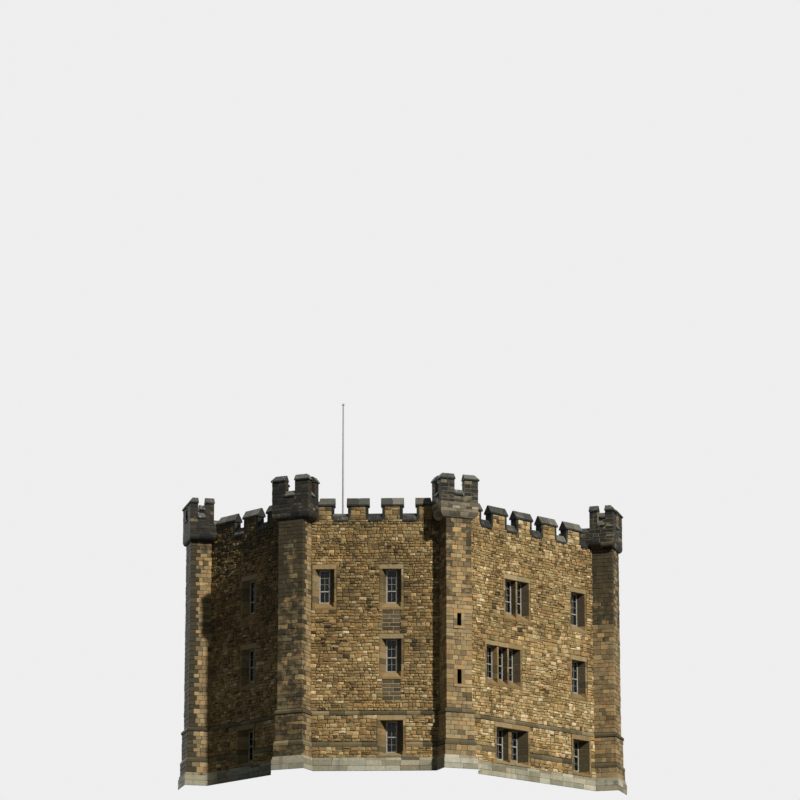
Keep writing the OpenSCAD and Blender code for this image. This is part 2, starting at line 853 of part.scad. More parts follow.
wall(FRONT);  // front_wall
wall(RIGHT);  // right_wall
wall(RIGHT_SIDE);  // right_side_wall
wall(BACK_RIGHT);  // back_right_wall
wall(BACK);  // back_wall
wall(BACK_LEFT);  // back_left_wall
wall(LEFT_SIDE);  // left_side_wall
wall(LEFT);  // left_wall
parapet(FRONT);  // front_parapet
parapet(RIGHT);  // right_parapet
parapet(RIGHT_SIDE);  // right_side_parapet
parapet(BACK_RIGHT);  // back_right_parapet
parapet(BACK);  // back_parapet
parapet(BACK_LEFT);  // back_left_parapet
parapet(LEFT_SIDE);  // left_side_parapet
parapet(LEFT);  // left_parapet
buttress(FRONT);  // front_left_buttress
buttress(RIGHT);  // front_right_buttress
buttress(RIGHT_SIDE);  // right_buttress
buttress(BACK_RIGHT);  // far_right_buttress
buttress(BACK);  // back_right_buttress
buttress(BACK_LEFT);  // back_left_buttress
buttress(LEFT_SIDE);  // far_left_buttress
buttress(LEFT);  // left_buttress
turret(FRONT);  // front_left_turret
turret(RIGHT);  // front_right_turret
turret(RIGHT_SIDE);  // right_turret
turret(BACK_RIGHT);  // far_right_turret
turret(BACK);  // back_right_turret
turret(BACK_LEFT);  // back_left_turret
turret(LEFT_SIDE);  // far_left_turret
turret(LEFT);  // left_turret
turret_corbels();
turret_copings();
parapet_copings();
projecting_courses();
base_plinth();
window_surrounds();
window_sashes();
window_glass();
floor_slab(ground_floor_t, ground_floor_t, "darkkhaki");  // ground_floor
floor_slab(first_floor_z, floor_t, "sienna");  // first_floor
floor_slab(second_floor_z, floor_t, "sienna");  // second_floor
floor_slab(walk_z, roof_t, "slategray");  // roof_deck
flagpole();
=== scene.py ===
"""Castle keep: masonry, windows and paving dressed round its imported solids."""
import math
import random
from itertools import pairwise

import bmesh
import bpy
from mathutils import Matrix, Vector, geometry, noise


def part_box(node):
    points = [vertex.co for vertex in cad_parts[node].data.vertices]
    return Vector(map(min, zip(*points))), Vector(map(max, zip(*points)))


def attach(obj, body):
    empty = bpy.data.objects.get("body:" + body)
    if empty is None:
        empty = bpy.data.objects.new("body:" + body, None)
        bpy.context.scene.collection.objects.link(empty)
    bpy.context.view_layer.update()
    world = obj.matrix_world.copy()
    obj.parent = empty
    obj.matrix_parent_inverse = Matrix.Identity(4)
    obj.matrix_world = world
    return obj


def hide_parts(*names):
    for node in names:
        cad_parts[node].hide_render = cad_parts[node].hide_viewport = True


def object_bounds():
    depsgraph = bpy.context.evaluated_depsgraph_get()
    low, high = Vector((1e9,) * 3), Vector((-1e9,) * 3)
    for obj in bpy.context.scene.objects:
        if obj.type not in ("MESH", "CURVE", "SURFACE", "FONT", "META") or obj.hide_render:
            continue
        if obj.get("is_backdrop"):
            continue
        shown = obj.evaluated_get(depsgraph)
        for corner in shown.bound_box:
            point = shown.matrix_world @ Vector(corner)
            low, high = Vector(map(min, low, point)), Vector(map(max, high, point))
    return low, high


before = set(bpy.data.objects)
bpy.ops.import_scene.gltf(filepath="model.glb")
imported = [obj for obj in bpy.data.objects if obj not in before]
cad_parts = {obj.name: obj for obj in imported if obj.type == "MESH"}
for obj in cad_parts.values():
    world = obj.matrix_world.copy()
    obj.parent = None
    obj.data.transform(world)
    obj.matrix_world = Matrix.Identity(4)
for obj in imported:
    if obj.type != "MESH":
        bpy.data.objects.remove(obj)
cad_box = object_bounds()

# Faces of the plan in order round the keep, and the corner where each starts
FACES = ["front", "right", "right_side", "back_right", "back", "back_left", "left_side", "left"]
CORNERS = [
    "front_left", "front_right", "right", "far_right",
    "back_right", "back_left", "far_left", "left",
]
SIDES = len(FACES)
# Axes of a place: along it, into the building, and up
X, Y, Z = 0, 1, 2
UP = Vector((0, 0, 1))
# Corners nearer than this are one, and faces that bend less than this are one.
WELD = 0.0002
FLAT = math.radians(1)
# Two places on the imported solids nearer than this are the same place.
NEAR = 0.01


class Place:
    """A spot on the plan: x runs along it, y runs into the building, z is height."""

    def __init__(self, origin, along):
        self.origin = Vector((origin.x, origin.y, 0))
        self.along = Vector((along.x, along.y, 0)).normalized()
        self.inward = UP.cross(self.along)

    def point(self, x, y, z):
        return self.origin + self.along * x + self.inward * y + UP * z

    def local(self, p):
        d = p - self.origin
        return Vector((d.dot(self.along), d.dot(self.inward), p.z))


def limit(value):
    return min(max(value, 0.0), 1.0)


class Solid:
    """One loose solid of a CAD node, with flat faces."""

    def __init__(self, corners, faces):
        self.corners = corners
        self.faces = faces
        self.middle = sum(corners, Vector()) / len(corners)

    def span(self, place, axis):
        """Lowest and highest local coordinate of the solid along an axis."""
        values = [place.local(c)[axis] for c in self.corners]
        return min(values), max(values)


def solids(node):
    """The loose solids of a CAD node, in the order of their first corner."""
    bm = bmesh.new()
    bm.from_mesh(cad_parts[node].data)
    bmesh.ops.remove_doubles(bm, verts=bm.verts, dist=WELD)
    bmesh.ops.dissolve_limit(bm, angle_limit=FLAT, verts=bm.verts, edges=bm.edges)
    bm.verts.index_update()
    owner, parts = {}, []
    for seed in bm.verts:
        if seed.index in owner:
            continue
        stack, members = [seed], []
        owner[seed.index] = len(parts)
        while stack:
            vert = stack.pop()
            members.append(vert)
            for edge in vert.link_edges:
                other = edge.other_vert(vert)
                if other.index not in owner:
                    owner[other.index] = len(parts)
                    stack.append(other)
        parts.append(members)
    faces = [[] for _ in parts]
    for face in bm.faces:
        faces[owner[face.verts[0].index]].append([v.index for v in face.verts])
    found = []
    for members, own_faces in zip(parts, faces):
        number = {v.index: k for k, v in enumerate(members)}
        found.append(Solid([v.co.copy() for v in members],
                           [[number[v] for v in face] for face in own_faces]))
    bm.free()
    return found


# Heights and depths that the masonry follows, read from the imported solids
LEDGE_Z = min(c.z for s in solids("projecting_courses") for c in s.corners)
WALK_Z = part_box("front_wall")[1].z
PARAPET_Z = min(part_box("front_left_buttress")[1].z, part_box("front_right_buttress")[1].z)
MERLON_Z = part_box("front_parapet")[1].z
PLINTH_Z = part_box("base_plinth")[1].z
CORBEL_TOP_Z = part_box("turret_corbels")[1].z
TURRET_TOP_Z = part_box("front_left_turret")[1].z


def plan_corners():
    """Outer corner of the upper walls where each face starts."""
    tops = []
    for face in FACES:
        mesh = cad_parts[face + "_wall"].data
        tops.append([v.co for v in mesh.vertices if v.co.z > WALK_Z - WELD])
    corners = []
    for k in range(SIDES):
        shared = [a for a in tops[k] if any((a - b).length < WELD for b in tops[k - 1])]
        corners.append(max(shared, key=lambda p: p.xy.length))
    return corners


OUTER = plan_corners()
FACE_LEN = [(OUTER[(k + 1) % SIDES] - OUTER[k]).length for k in range(SIDES)]
FACE_PLACES = [Place(OUTER[k], OUTER[(k + 1) % SIDES] - OUTER[k]) for k in range(SIDES)]
CORNER_PLACES = [
    Place(OUTER[k], FACE_PLACES[k - 1].along + FACE_PLACES[k].along) for k in range(SIDES)
]
HALF_TURNS = [
    FACE_PLACES[k - 1].along.angle(FACE_PLACES[k].along) / 2 for k in range(SIDES)
]


def local_span(node, place, axis, low=-1e9, high=1e9):
    """Lowest and highest local coordinate of a node's corners between two heights."""
    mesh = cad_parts[node].data
    values = [place.local(v.co)[axis] for v in mesh.vertices if low < v.co.z < high]
    return min(values), max(values)


# Half width and reach, from the upper walls' corner, of the buttresses and turrets
BUTTRESS_HALF = local_span("front_left_buttress", CORNER_PLACES[0], X, PARAPET_Z - 0.1)[1]
BUTTRESS_OUT = -local_span("front_left_buttress", CORNER_PLACES[0], Y, PARAPET_Z - 0.1)[0]
TURRET_HALF = local_span("front_left_turret", CORNER_PLACES[0], X)[1]
TURRET_OUT = -local_span("front_left_turret", CORNER_PLACES[0], Y)[0]
TURRET_T = 0.35
PARAPET_T = local_span("front_parapet", FACE_PLACES[0], Y)[1]
TURRET_COPINGS = solids("turret_copings")
PARAPET_COPINGS = solids("parapet_copings")
# The turret copings lie on the low rear walls, in the gaps and on the merlons.
TURRET_SILL_Z = sorted({round(min(c.z for c in s.corners), 3) for s in TURRET_COPINGS})[1]


def reach_out(node, low=-1e9, high=1e9):
    """How far a node stands out from the front left buttress between two heights."""
    return -local_span(node, CORNER_PLACES[0], Y, low, high)[0] - BUTTRESS_OUT


# Growth of the wall below the ledge, of the band over it, and of the plinth, from the
# upper walls and buttresses
LOW_OUT = -local_span("front_wall", FACE_PLACES[0], Y)[0]
MID_OUT = -local_span("front_wall", FACE_PLACES[0], Y, LEDGE_Z + 0.05)[0]
PLINTH_OUT = reach_out("base_plinth")
STRING_Z = max(
    v.co.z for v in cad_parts["front_wall"].data.vertices
    if abs(FACE_PLACES[0].local(v.co).y + MID_OUT) < WELD
)
LEDGE_TALL = 0.31
STRING_TALL = 0.26
LEDGE_TOP_Z = LEDGE_Z + LEDGE_TALL
STRING_TOP_Z = STRING_Z + STRING_TALL


def side_foot(k, g):
    """How far out of the corner a buttress's side, grown by g, meets the wall's face."""
    turn = HALF_TURNS[k]
    return (g - math.sin(turn) * (BUTTRESS_HALF + g)) / math.cos(turn)


def foot_on_face(k, g):
    """Distance along a face from its corner k to the side of that corner's buttress."""
    turn = HALF_TURNS[k % SIDES]
    return (BUTTRESS_HALF + g) / math.cos(turn) - g * math.tan(turn)


def turret_back(k):
    """How far into the building a turret's flanks run, to the parapets' inner faces."""
    turn = HALF_TURNS[k]
    return ((TURRET_HALF + PARAPET_T * math.sin(turn)) * math.tan(turn)
            + PARAPET_T * math.cos(turn))


def run_ends(k):
    """Where the parapet of a face starts and ends between its two turrets."""
    start, end = (TURRET_HALF / math.cos(HALF_TURNS[j % SIDES]) for j in (k, k + 1))
    return start, FACE_LEN[k] - end


def face_near(point, depth):
    """The face whose plane, at a depth into the wall, a point lies nearest to."""
    def misfit(k):
        p = FACE_PLACES[k].local(point)
        return abs(p.y - depth) + (0 if 0 < p.x < FACE_LEN[k] else SIDES)
    return min(range(SIDES), key=misfit)


# Shader maths


class Link:
    """An output socket. Arithmetic on it adds Math nodes to its shading."""

    def __init__(self, shading, socket):
        self.shading = shading
        self.socket = socket

    def _math(self, operation, a, b):
        made = self.shading.node("ShaderNodeMath", {"operation": operation}, {0: a, 1: b})
        return made["Value"]

    def __add__(self, other):
        return self._math("ADD", self, other)

    def __radd__(self, other):
        return self._math("ADD", other, self)

    def __sub__(self, other):
        return self._math("SUBTRACT", self, other)

    def __rsub__(self, other):
        return self._math("SUBTRACT", other, self)

    def __mul__(self, other):
        return self._math("MULTIPLY", self, other)

    def __rmul__(self, other):
        return self._math("MULTIPLY", other, self)

    def fraction(self):
        return self._math("FRACT", self, 0.0)

    def either(self, other):
        """Of two masks, the larger."""
        return self._math("MAXIMUM", self, other)

    def clipped(self):
        made = self.shading.node("ShaderNodeClamp", {}, {"Value": self, "Min": 0.0, "Max": 1.0})
        return made["Result"]


class Node:
    """A node of a shading, whose outputs are taken by name or number."""

    def __init__(self, shading, made):
        self.shading = shading
        self.made = made

    def __getitem__(self, name):
        return Link(self.shading, self.made.outputs[name])


class Shading:
    """The nodes of a material or of the sky."""

    def __init__(self, owner):
        owner.use_nodes = True
        self.tree = owner.node_tree
        self.tree.nodes.clear()

    def node(self, kind, settings, sockets):
        """Adds a node. Its settings come first, then the values or links of its sockets."""
        made = self.tree.nodes.new(kind)
        for name, value in settings.items():
            if name == "stops":
                self._set_stops(made.color_ramp, value)
            else:
                setattr(made, name, value)
        for name, value in sockets.items():
            if isinstance(value, Link):
                self.tree.links.new(value.socket, made.inputs[name])
            else:
                made.inputs[name].default_value = value
        return Node(self, made)

    @staticmethod
    def _set_stops(ramp, stops):
        while len(ramp.elements) < len(stops):
            ramp.elements.new(1.0)
        for element, (position, colour) in zip(ramp.elements, stops):
            element.position = position
            element.color = (*colour, 1.0)

    def rays(self, *kinds):
        """A mask of the kinds of ray, as a Light Path node names them."""
        path = self.node("ShaderNodeLightPath", {}, {})
        found = path[kinds[0]]
        for kind in kinds[1:]:
            found = found.either(path[kind])
        return found

    def mix(self, factor, a, b, blend="MIX"):
        """Mixes two colours, given as links or as red, green and blue."""
        a, b = (c if isinstance(c, Link) else (*c, 1.0) for c in (a, b))
        kind = {"data_type": "RGBA", "blend_type": blend}
        return self.node("ShaderNodeMix", kind, {0: factor, 6: a, 7: b})[2]


class Finish(Shading):
    """A material built from nodes, with its pattern fixed to the piece."""

    def __init__(self, name):
        self.material = bpy.data.materials.new(name)
        super().__init__(self.material)
        self.where = self.node("ShaderNodeTexCoord", {}, {})["Object"]

    def attribute(self, name):
        """The tone or the soot of a stone."""
        return self.node("ShaderNodeAttribute", {"attribute_name": name}, {})["Fac"]

    def clouds(self, scale, detail=4.0, roughness=0.6, where=None):
        """Noise between 0 and 1. Scale counts its swells in a metre."""
        return self.node("ShaderNodeTexNoise", {}, {
            "Vector": where or self.where, "Scale": scale,
            "Detail": detail, "Roughness": roughness,
        })["Fac"]

    def between(self, value, low, high, bottom=0.0, top=1.0):
        """Smooth step of a value from low to high."""
        return self.node("ShaderNodeMapRange", {"interpolation_type": "SMOOTHSTEP"}, {
            "Value": value, "From Min": low, "From Max": high, "To Min": bottom, "To Max": top,
        })["Result"]

    def ramp(self, value, stops):
        return self.node("ShaderNodeValToRGB", {"stops": stops}, {"Fac": value})["Color"]

    def shade(self, colour, amount):
        """Multiplies a colour by an amount that varies round 1."""
        grey = self.node("ShaderNodeCombineColor", {}, {
            "Red": amount, "Green": amount, "Blue": amount})["Color"]
        return self.mix(1.0, colour, grey, "MULTIPLY")

    def height(self):
        """Height above the ground."""
        return self.node("ShaderNodeSeparateXYZ", {}, {"Vector": self.where})["Z"]

    def stretched(self, x, y, z):
        """The place on the piece, with each axis scaled."""
        return self.node("ShaderNodeMapping", {}, {
            "Vector": self.where, "Scale": (x, y, z)})["Vector"]

    def bump(self, height, distance):
        return self.node("ShaderNodeBump", {}, {"Height": height, "Distance": distance})["Normal"]

    def surface(self, sockets):
        """Ends the material in one surface."""
        shader = self.node("ShaderNodeBsdfPrincipled", {}, sockets)["BSDF"]
        self.node("ShaderNodeOutputMaterial", {}, {"Surface": shader})
        return self.material


def srgb(red, green, blue):
    """A colour given as seen on a screen, from 0 to 255."""
    values = [c / 255 for c in (red, green, blue)]
    return tuple(c / 12.92 if c <= 0.04045 else ((c + 0.055) / 1.055) ** 2.4 for c in values)


SOOT = srgb(24, 27, 27)
GRIME = srgb(47, 44, 30)
MOSS = srgb(92, 98, 52)
LICHEN = srgb(196, 190, 166)
# Moss is thickest below the first of these heights and thin above the second.
MOSS_HEIGHTS = (0.4, 3.6)
STONE_RELIEF = 0.014
MORTAR_RELIEF = 0.004
STREAK_STRETCH = (2.6, 2.6, 0.22)


def evenly(shades):
    """Stops of a ramp that spread the shades evenly."""
    return [(k / (len(shades) - 1), srgb(*shade)) for k, shade in enumerate(shades)]


def masonry(name, shades, dirt=SOOT, grain=0.2, hues=0.1, moss=0.0, lichen=0.25, rain=0.3):
    """Weathered stone: each stone's tone picks its shade and hue, and soot darkens it."""
    f = Finish(name)
    tone = f.attribute("tone")
    soot = f.attribute("soot")
    broad = f.clouds(0.9, 3.0)
    patch = f.clouds(5.0, 5.0, 0.62)
    fine = f.clouds(15.0, 6.0, 0.8)
    mixed = (tone + (patch - 0.5) * 0.28 + (broad - 0.5) * 0.18).clipped()
    colour = f.ramp(mixed, evenly(shades))
    cast = f.mix((tone * 9.7).fraction(), (1 - hues, 1.0, 1 + hues), (1 + hues, 1.0, 1 - hues))
    colour = f.mix(1.0, colour, cast, "MULTIPLY")
    colour = f.shade(colour, 1.0 + (fine - 0.5) * (2.4 * grain) + (patch - 0.5) * grain)
    # Rain washes upright streaks
    streaks = f.clouds(1.0, 5.0, 0.65, f.stretched(*STREAK_STRETCH))
    colour = f.shade(colour, 1.0 - f.between(streaks, 0.52, 0.78) * rain)
    # Dirt lies in patches that close up where soot is heavy
    crust = f.between(f.clouds(2.7, 6.0, 0.68) + soot * 0.62, 0.74, 0.98) * 0.86
    colour = f.mix(crust, colour, dirt)
    if moss:
        low = f.between(f.height(), *MOSS_HEIGHTS, 1.0, 0.12)
        tufts = f.between(f.clouds(3.4, 6.0, 0.7), 0.5, 0.72)
        colour = f.mix(tufts * low * moss, colour, MOSS)
    # Lichen grows in spots, larger where there is more of it
    spots = f.between(f.clouds(6.0, 5.0, 0.7), 0.72 - lichen * 0.13, 0.78 - lichen * 0.12)
    colour = f.mix(spots * lichen, colour, LICHEN)
    return f.surface({
        "Base Color": colour, "Roughness": 0.84 + (fine - 0.5) * 0.2,
        "Normal": f.bump(fine * 0.5 + patch, STONE_RELIEF), "Specular IOR Level": 0.3,
    })


def mortar_finish(name, low, middle, high):
    """Rough lime mortar in three shades."""
    f = Finish(name)
    patch = f.clouds(3.0, 6.0, 0.7)
    fine = f.clouds(70.0, 3.0, 0.7)
    colour = f.ramp(patch, [(0.3, srgb(*low)), (0.55, srgb(*middle)), (0.75, srgb(*high))])
    colour = f.shade(colour, 0.9 + fine * 0.25)
    return f.surface({
        "Base Color": colour, "Roughness": 0.95, "Normal": f.bump(fine, MORTAR_RELIEF),
        "Specular IOR Level": 0.2,
    })


def shaded_paint_finish():
    """Gloss paint on the sashes and bars, a little chalky and grey in places, and darker than white
    all over as painted shade of the deep reveals.
    """
    f = Finish("window_paint")
    wear = f.clouds(9.0, 5.0, 0.7)
    colour = f.ramp(wear, [(0.35, srgb(130, 126, 115)), (0.6, srgb(168, 164, 154))])
    return f.surface({
        "Base Color": colour, "Roughness": f.between(wear, 0.3, 0.7, 0.5, 0.3),
        "Normal": f.bump(f.clouds(60.0), 0.0006),
    })


def pole_finish():
    """White paint on the flagpole, worn in long streaks."""
    f = Finish("pole_paint")
    wear = f.clouds(5.0, 5.0, 0.7, f.stretched(4.0, 4.0, 0.5))
    colour = f.ramp(wear, [(0.3, srgb(132, 132, 129)), (0.5, srgb(174, 174, 172))])
    return f.surface({
        "Base Color": colour, "Roughness": f.between(wear, 0.3, 0.7, 0.55, 0.35),
        "Normal": f.bump(wear, 0.001),
    })


def shaded_glass_finish():
    """Old window glass, near black and mostly opaque as painted shade of the dark rooms behind it."""
    f = Finish("window_glass")
    ripple = f.clouds(2.2, 2.0, 0.5)
    colour = f.ramp(ripple, [(0.3, srgb(10, 12, 12)), (0.7, srgb(24, 27, 27))])
    return f.surface({
        "Base Color": colour, "Roughness": 0.05 + ripple * 0.05, "Alpha": 0.85,
        "Normal": f.bump(ripple, 0.004), "Specular IOR Level": 0.25,
    })


def floor_finish(name, shades, length, width, gap):
    """Boards or flags drawn by a brick pattern on a floor seen only through windows."""
    f = Finish(name)
    joint, first, second = ((*srgb(*shade), 1.0) for shade in shades)
    pattern = f.node("ShaderNodeTexBrick", {"offset": 0.5}, {
        "Vector": f.where, "Color1": first, "Color2": second, "Mortar": joint, "Scale": 1.0,
        "Mortar Size": gap, "Brick Width": length, "Row Height": width,
    })
    grain = f.clouds(6.0, 5.0, 0.65, f.stretched(1.0, 9.0, 9.0))
    colour = f.shade(pattern["Color"], 0.75 + grain * 0.5)
    return f.surface({
        "Base Color": colour, "Roughness": 0.55 + grain * 0.3,
        "Normal": f.bump(grain - pattern["Fac"], 0.003),
    })


finishes = {
    "mortar": mortar_finish("mortar", (30, 26, 18), (60, 52, 36), (112, 96, 68)),
    "pale_mortar": mortar_finish("pale_mortar", (84, 75, 56), (132, 121, 96), (164, 154, 128)),
    "rubble": masonry("rubble_stone", [
        (64, 52, 34), (104, 85, 54), (136, 112, 71), (160, 134, 88), (190, 165, 118), (216, 197, 158),
    ], dirt=GRIME, grain=0.34, moss=0.45, lichen=0.4),
    "infill": masonry("infill_stone", [
        (64, 57, 42), (86, 76, 56), (104, 93, 70),
    ], dirt=GRIME, grain=0.24, hues=0.06),
    "buttress": masonry("buttress_stone", [
        (84, 73, 51), (124, 106, 75), (152, 130, 92), (176, 150, 106), (194, 165, 117),
    ], dirt=GRIME, grain=0.3, moss=0.35, lichen=0.3),
    "turret": masonry("turret_stone", [
        (44, 44, 42), (76, 72, 62), (112, 102, 84), (138, 126, 104), (162, 152, 130),
    ], grain=0.26, hues=0.05, lichen=0.4, rain=0.4),
    "coping": masonry("coping_stone", [
        (52, 50, 43), (74, 72, 62), (92, 90, 80), (116, 113, 102),
    ], grain=0.3, hues=0.05, moss=0.3, lichen=0.6),
    "turret_coping": masonry("turret_coping_stone", [
        (46, 49, 49), (66, 69, 67), (86, 88, 80), (110, 110, 98),
    ], grain=0.26, hues=0.05, moss=0.3, lichen=1.0, rain=0.25),
    "course": masonry("course_stone", [
        (64, 57, 40), (96, 86, 62), (132, 119, 90),
    ], dirt=GRIME, grain=0.26, hues=0.08, moss=0.4, lichen=0.4),
    "ashlar": masonry("pale_ashlar", [
        (96, 90, 72), (140, 134, 112), (166, 160, 138), (192, 185, 163),
    ], dirt=GRIME, grain=0.3, hues=0.05, moss=0.25, lichen=0.3, rain=0.4),
    "dressed": masonry("dressed_stone", [
        (100, 83, 54), (128, 108, 72), (148, 126, 87), (166, 149, 116),
    ], dirt=GRIME, grain=0.26, hues=0.08, moss=0.2, lichen=0.3, rain=0.35),
    "flags": masonry("roof_paving", [
        (78, 78, 74), (104, 103, 97), (128, 126, 118), (146, 144, 136),
    ], dirt=GRIME, grain=0.18, hues=0.03, moss=0.2, lichen=0.5),
    "paint": shaded_paint_finish(),
    "pole": pole_finish(),
    "glass": shaded_glass_finish(),
    "ground_flags": floor_finish(
        "floor_paving", [(60, 58, 52), (120, 116, 104), (136, 131, 118)], 0.9, 0.6, 0.01),
    "boards": floor_finish(
        "floor_boards", [(28, 20, 12), (96, 66, 38), (112, 78, 46)], 2.4, 0.18, 0.004),
}


# Masonry made as meshes

BEVEL_ANGLE = math.radians(30)
# Middle and spread of the tones of each kind of stone, from 0 for dark to 1 for pale
TONES = {
    "buttress": (0.5, 0.17), "turret": (0.6, 0.26), "cheek": (0.25, 0.15),
    "ledge": (0.5, 0.26), "string": (0.45, 0.26),
    "plinth": (0.56, 0.26), "sill": (0.42, 0.1), "jamb": (0.36, 0.24), "lintel": (0.66, 0.14),
    "slit_jamb": (0.5, 0.18), "parapet_coping": (0.5, 0.24), "turret_coping": (0.55, 0.2),
    "flag": (0.5, 0.2),
}
# Soot on the kinds of stone that have the same amount, or nearly, all round the keep
SOOTS = {
    "cheek": 0.7, "ledge": 0.1, "string": 0.12, "plinth": 0.15, "sill": 0.3, "jamb": 0.2,
    "lintel": 0.05, "slit_jamb": 0.15, "infill": 0.15, "pole_block": 0.1,
}


def baked(name, mesh, modifiers):
    """Plain mesh of an object once modifiers, given as (type, settings), are applied."""
    carrier = bpy.data.objects.new(name, mesh)
    bpy.context.scene.collection.objects.link(carrier)
    for kind, settings in modifiers:
        modifier = carrier.modifiers.new(kind, kind)
        inputs = settings.pop("inputs", {})
        for key, value in settings.items():
            setattr(modifier, key, value)
        for item in (modifier.node_group.interface.items_tree if inputs else []):
            if item.name in inputs and item.in_out == "INPUT":
                modifier[item.identifier] = inputs[item.name]
    bpy.context.view_layer.update()
    graph = bpy.context.evaluated_depsgraph_get()
    made = bpy.data.meshes.new_from_object(carrier.evaluated_get(graph), depsgraph=graph)
    bpy.data.objects.remove(carrier)
    made.name = name
    return made


def finished(name, mesh, finish, replaced=()):
    """Puts a finished mesh in the scene as a piece of the keep."""
    mesh.materials.clear()
    mesh.materials.append(finishes[finish])
    piece = bpy.data.objects.new(name, mesh)
    bpy.context.scene.collection.objects.link(piece)
    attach(piece, "root")
    if replaced:
        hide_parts(*replaced)


def toned_mesh(name, corners, faces, tones, soots):
    """A mesh whose faces carry the tone and the soot of their stones."""
    made = bpy.data.meshes.new(name)
    made.from_pydata(corners, [], faces)
    for label, values in (("tone", tones), ("soot", soots)):
        made.attributes.new(label, "FLOAT", "FACE").data.foreach_set("value", values)
    return made


class Stones:
    """Collects closed stones into one mesh, each with its own tone and soot.

    Each piece draws from its own seed, so a change to one leaves the others as they are.
    """

    def __init__(self, seed):
        self.random = random.Random(seed)
        self.corners, self.faces, self.tones, self.soots = [], [], [], []
        self.last = 0

    def vary(self, middle, spread):
        """A tone or an amount of soot that differs from stone to stone."""
        return limit(self.random.gauss(middle, spread))

    def add(self, corners, faces, tone=None, soot=0.0):
        """Adds a stone. Without a tone it gets any tone."""
        start = len(self.corners)
        self.last = len(self.faces)
        self.corners += corners
        self.faces += [[start + k for k in face] for face in faces]
        tone = self.random.random() if tone is None else tone
        self.tones += [tone] * len(faces)
        self.soots += [soot] * len(faces)

    def between(self, ring_a, ring_b, tone=None, soot=0.0):
        """A stone that fills the space between two rings of as many corners."""
        count = len(ring_a)
        faces = [list(range(count))[::-1], list(range(count, 2 * count))]
        for k in range(count):
            following = (k + 1) % count
            faces.append([k, following, count + following, count + k])
        self.add(list(ring_a) + list(ring_b), faces, tone, soot)

    def block(self, place, xs, ys, zs, tone=None, soot=0.0, jitter=0.0):
        """A squared stone between two values each way, its corners a little off true."""
        def ring(z):
            return [
                place.point(x + self.random.uniform(-jitter, jitter),
                            y + self.random.uniform(-jitter, jitter), z)
                for x, y in ((xs[0], ys[0]), (xs[1], ys[0]), (xs[1], ys[1]), (xs[0], ys[1]))
            ]
        self.between(ring(zs[0]), ring(zs[1]), tone, soot)

    def darken(self, chosen, soot):
        """Adds soot, some of it painted shade, to those faces of the last stone whose direction is
        chosen.
        """
        for n in range(self.last, len(self.faces)):
            if chosen(geometry.normal([self.corners[v] for v in self.faces[n]])):
                self.soots[n] += soot

    def mesh(self, name):
        """The stones as one mesh, with every face pointing out of its stone."""
        made = toned_mesh(name, self.corners, self.faces, self.tones, self.soots)
        bm = bmesh.new()
        bm.from_mesh(made)
        bmesh.ops.recalc_face_normals(bm, faces=bm.faces)
        bm.to_mesh(made)
        bm.free()
        return made

    def piece(self, name, finish, slot, bevel=0.01, replaced=(), cuts=0, wear=0.0):
        """Makes the stones one piece, their faces cut finer and worn, and their edges too."""
        modifiers = []
        if cuts:
            modifiers.append(("NODES", {"node_group": WEATHERED, "inputs": {
                "Cuts": cuts, "Wear": wear, "Material": finishes[finish]}}))
        if bevel:
            modifiers.append(("BEVEL", {
                "width": bevel, "segments": 1, "limit_method": "ANGLE",
                "angle_limit": BEVEL_ANGLE, "use_clamp_overlap": True}))
        finished(name, baked(name, self.mesh(name), modifiers), finish, replaced)


def geometry_tree(name, sockets):
    """An empty Geometry Nodes tree with named inputs, given as (name, type, default)."""
    tree = bpy.data.node_groups.new(name, "GeometryNodeTree")
    tree.interface.new_socket("Geometry", in_out="INPUT", socket_type="NodeSocketGeometry")
    for label, kind, default in sockets:
        socket = tree.interface.new_socket(label, in_out="INPUT", socket_type="NodeSocket" + kind)
        if default is not None:
            socket.default_value = default
    tree.interface.new_socket("Geometry", in_out="OUTPUT", socket_type="NodeSocketGeometry")
    return tree, tree.nodes.new("NodeGroupInput"), tree.nodes.new("NodeGroupOutput")


def grow(tree, kind, settings, sockets):
    """Adds a node to a Geometry Nodes tree. Sockets take values or other outputs."""
    made = tree.nodes.new(kind)
    for name, value in settings.items():
        setattr(made, name, value)
    for name, value in sockets.items():
        if isinstance(value, bpy.types.NodeSocket):
            tree.links.new(value, made.inputs[name])
        else:
            made.inputs[name].default_value = value
    return made


def chosen_only(chosen):
    """The selection socket of a node, where only some of the mesh is chosen."""
    return {"Selection": chosen} if chosen else {}


def shifted(tree, mesh, chosen, scale, amount):
    """Moves the chosen corners by a noise."""
    clouds = grow(tree, "ShaderNodeTexNoise", {}, {"Scale": scale, "Detail": 1.0})
    centred = grow(tree, "ShaderNodeVectorMath", {"operation": "SUBTRACT"}, {
        0: clouds.outputs["Color"], 1: (0.5, 0.5, 0.5)})
    shift = grow(tree, "ShaderNodeVectorMath", {"operation": "SCALE"}, {
        0: centred.outputs["Vector"], "Scale": amount})
    moved = grow(tree, "GeometryNodeSetPosition", {}, {
        "Geometry": mesh, **chosen_only(chosen), "Offset": shift.outputs["Vector"]})
    return moved.outputs["Geometry"]


def end_tree(tree, mesh, given, result):
    """Ends a tree in plain geometry with its material."""
    realized = grow(tree, "GeometryNodeRealizeInstances", {}, {"Geometry": mesh})
    painted = grow(tree, "GeometryNodeSetMaterial", {}, {
        "Geometry": realized.outputs["Geometry"], "Material": given.outputs["Material"]})
    tree.links.new(painted.outputs["Geometry"], result.inputs["Geometry"])
    return tree


# The top of a laid stone is drawn in to this share of its shoulder.
CROWN_SHARE = 0.55
SHOULDER_NOISE = 9.0
CROWN_NOISE = 14.0
WEAR_NOISE = 5.0
SEAM = 0.0005


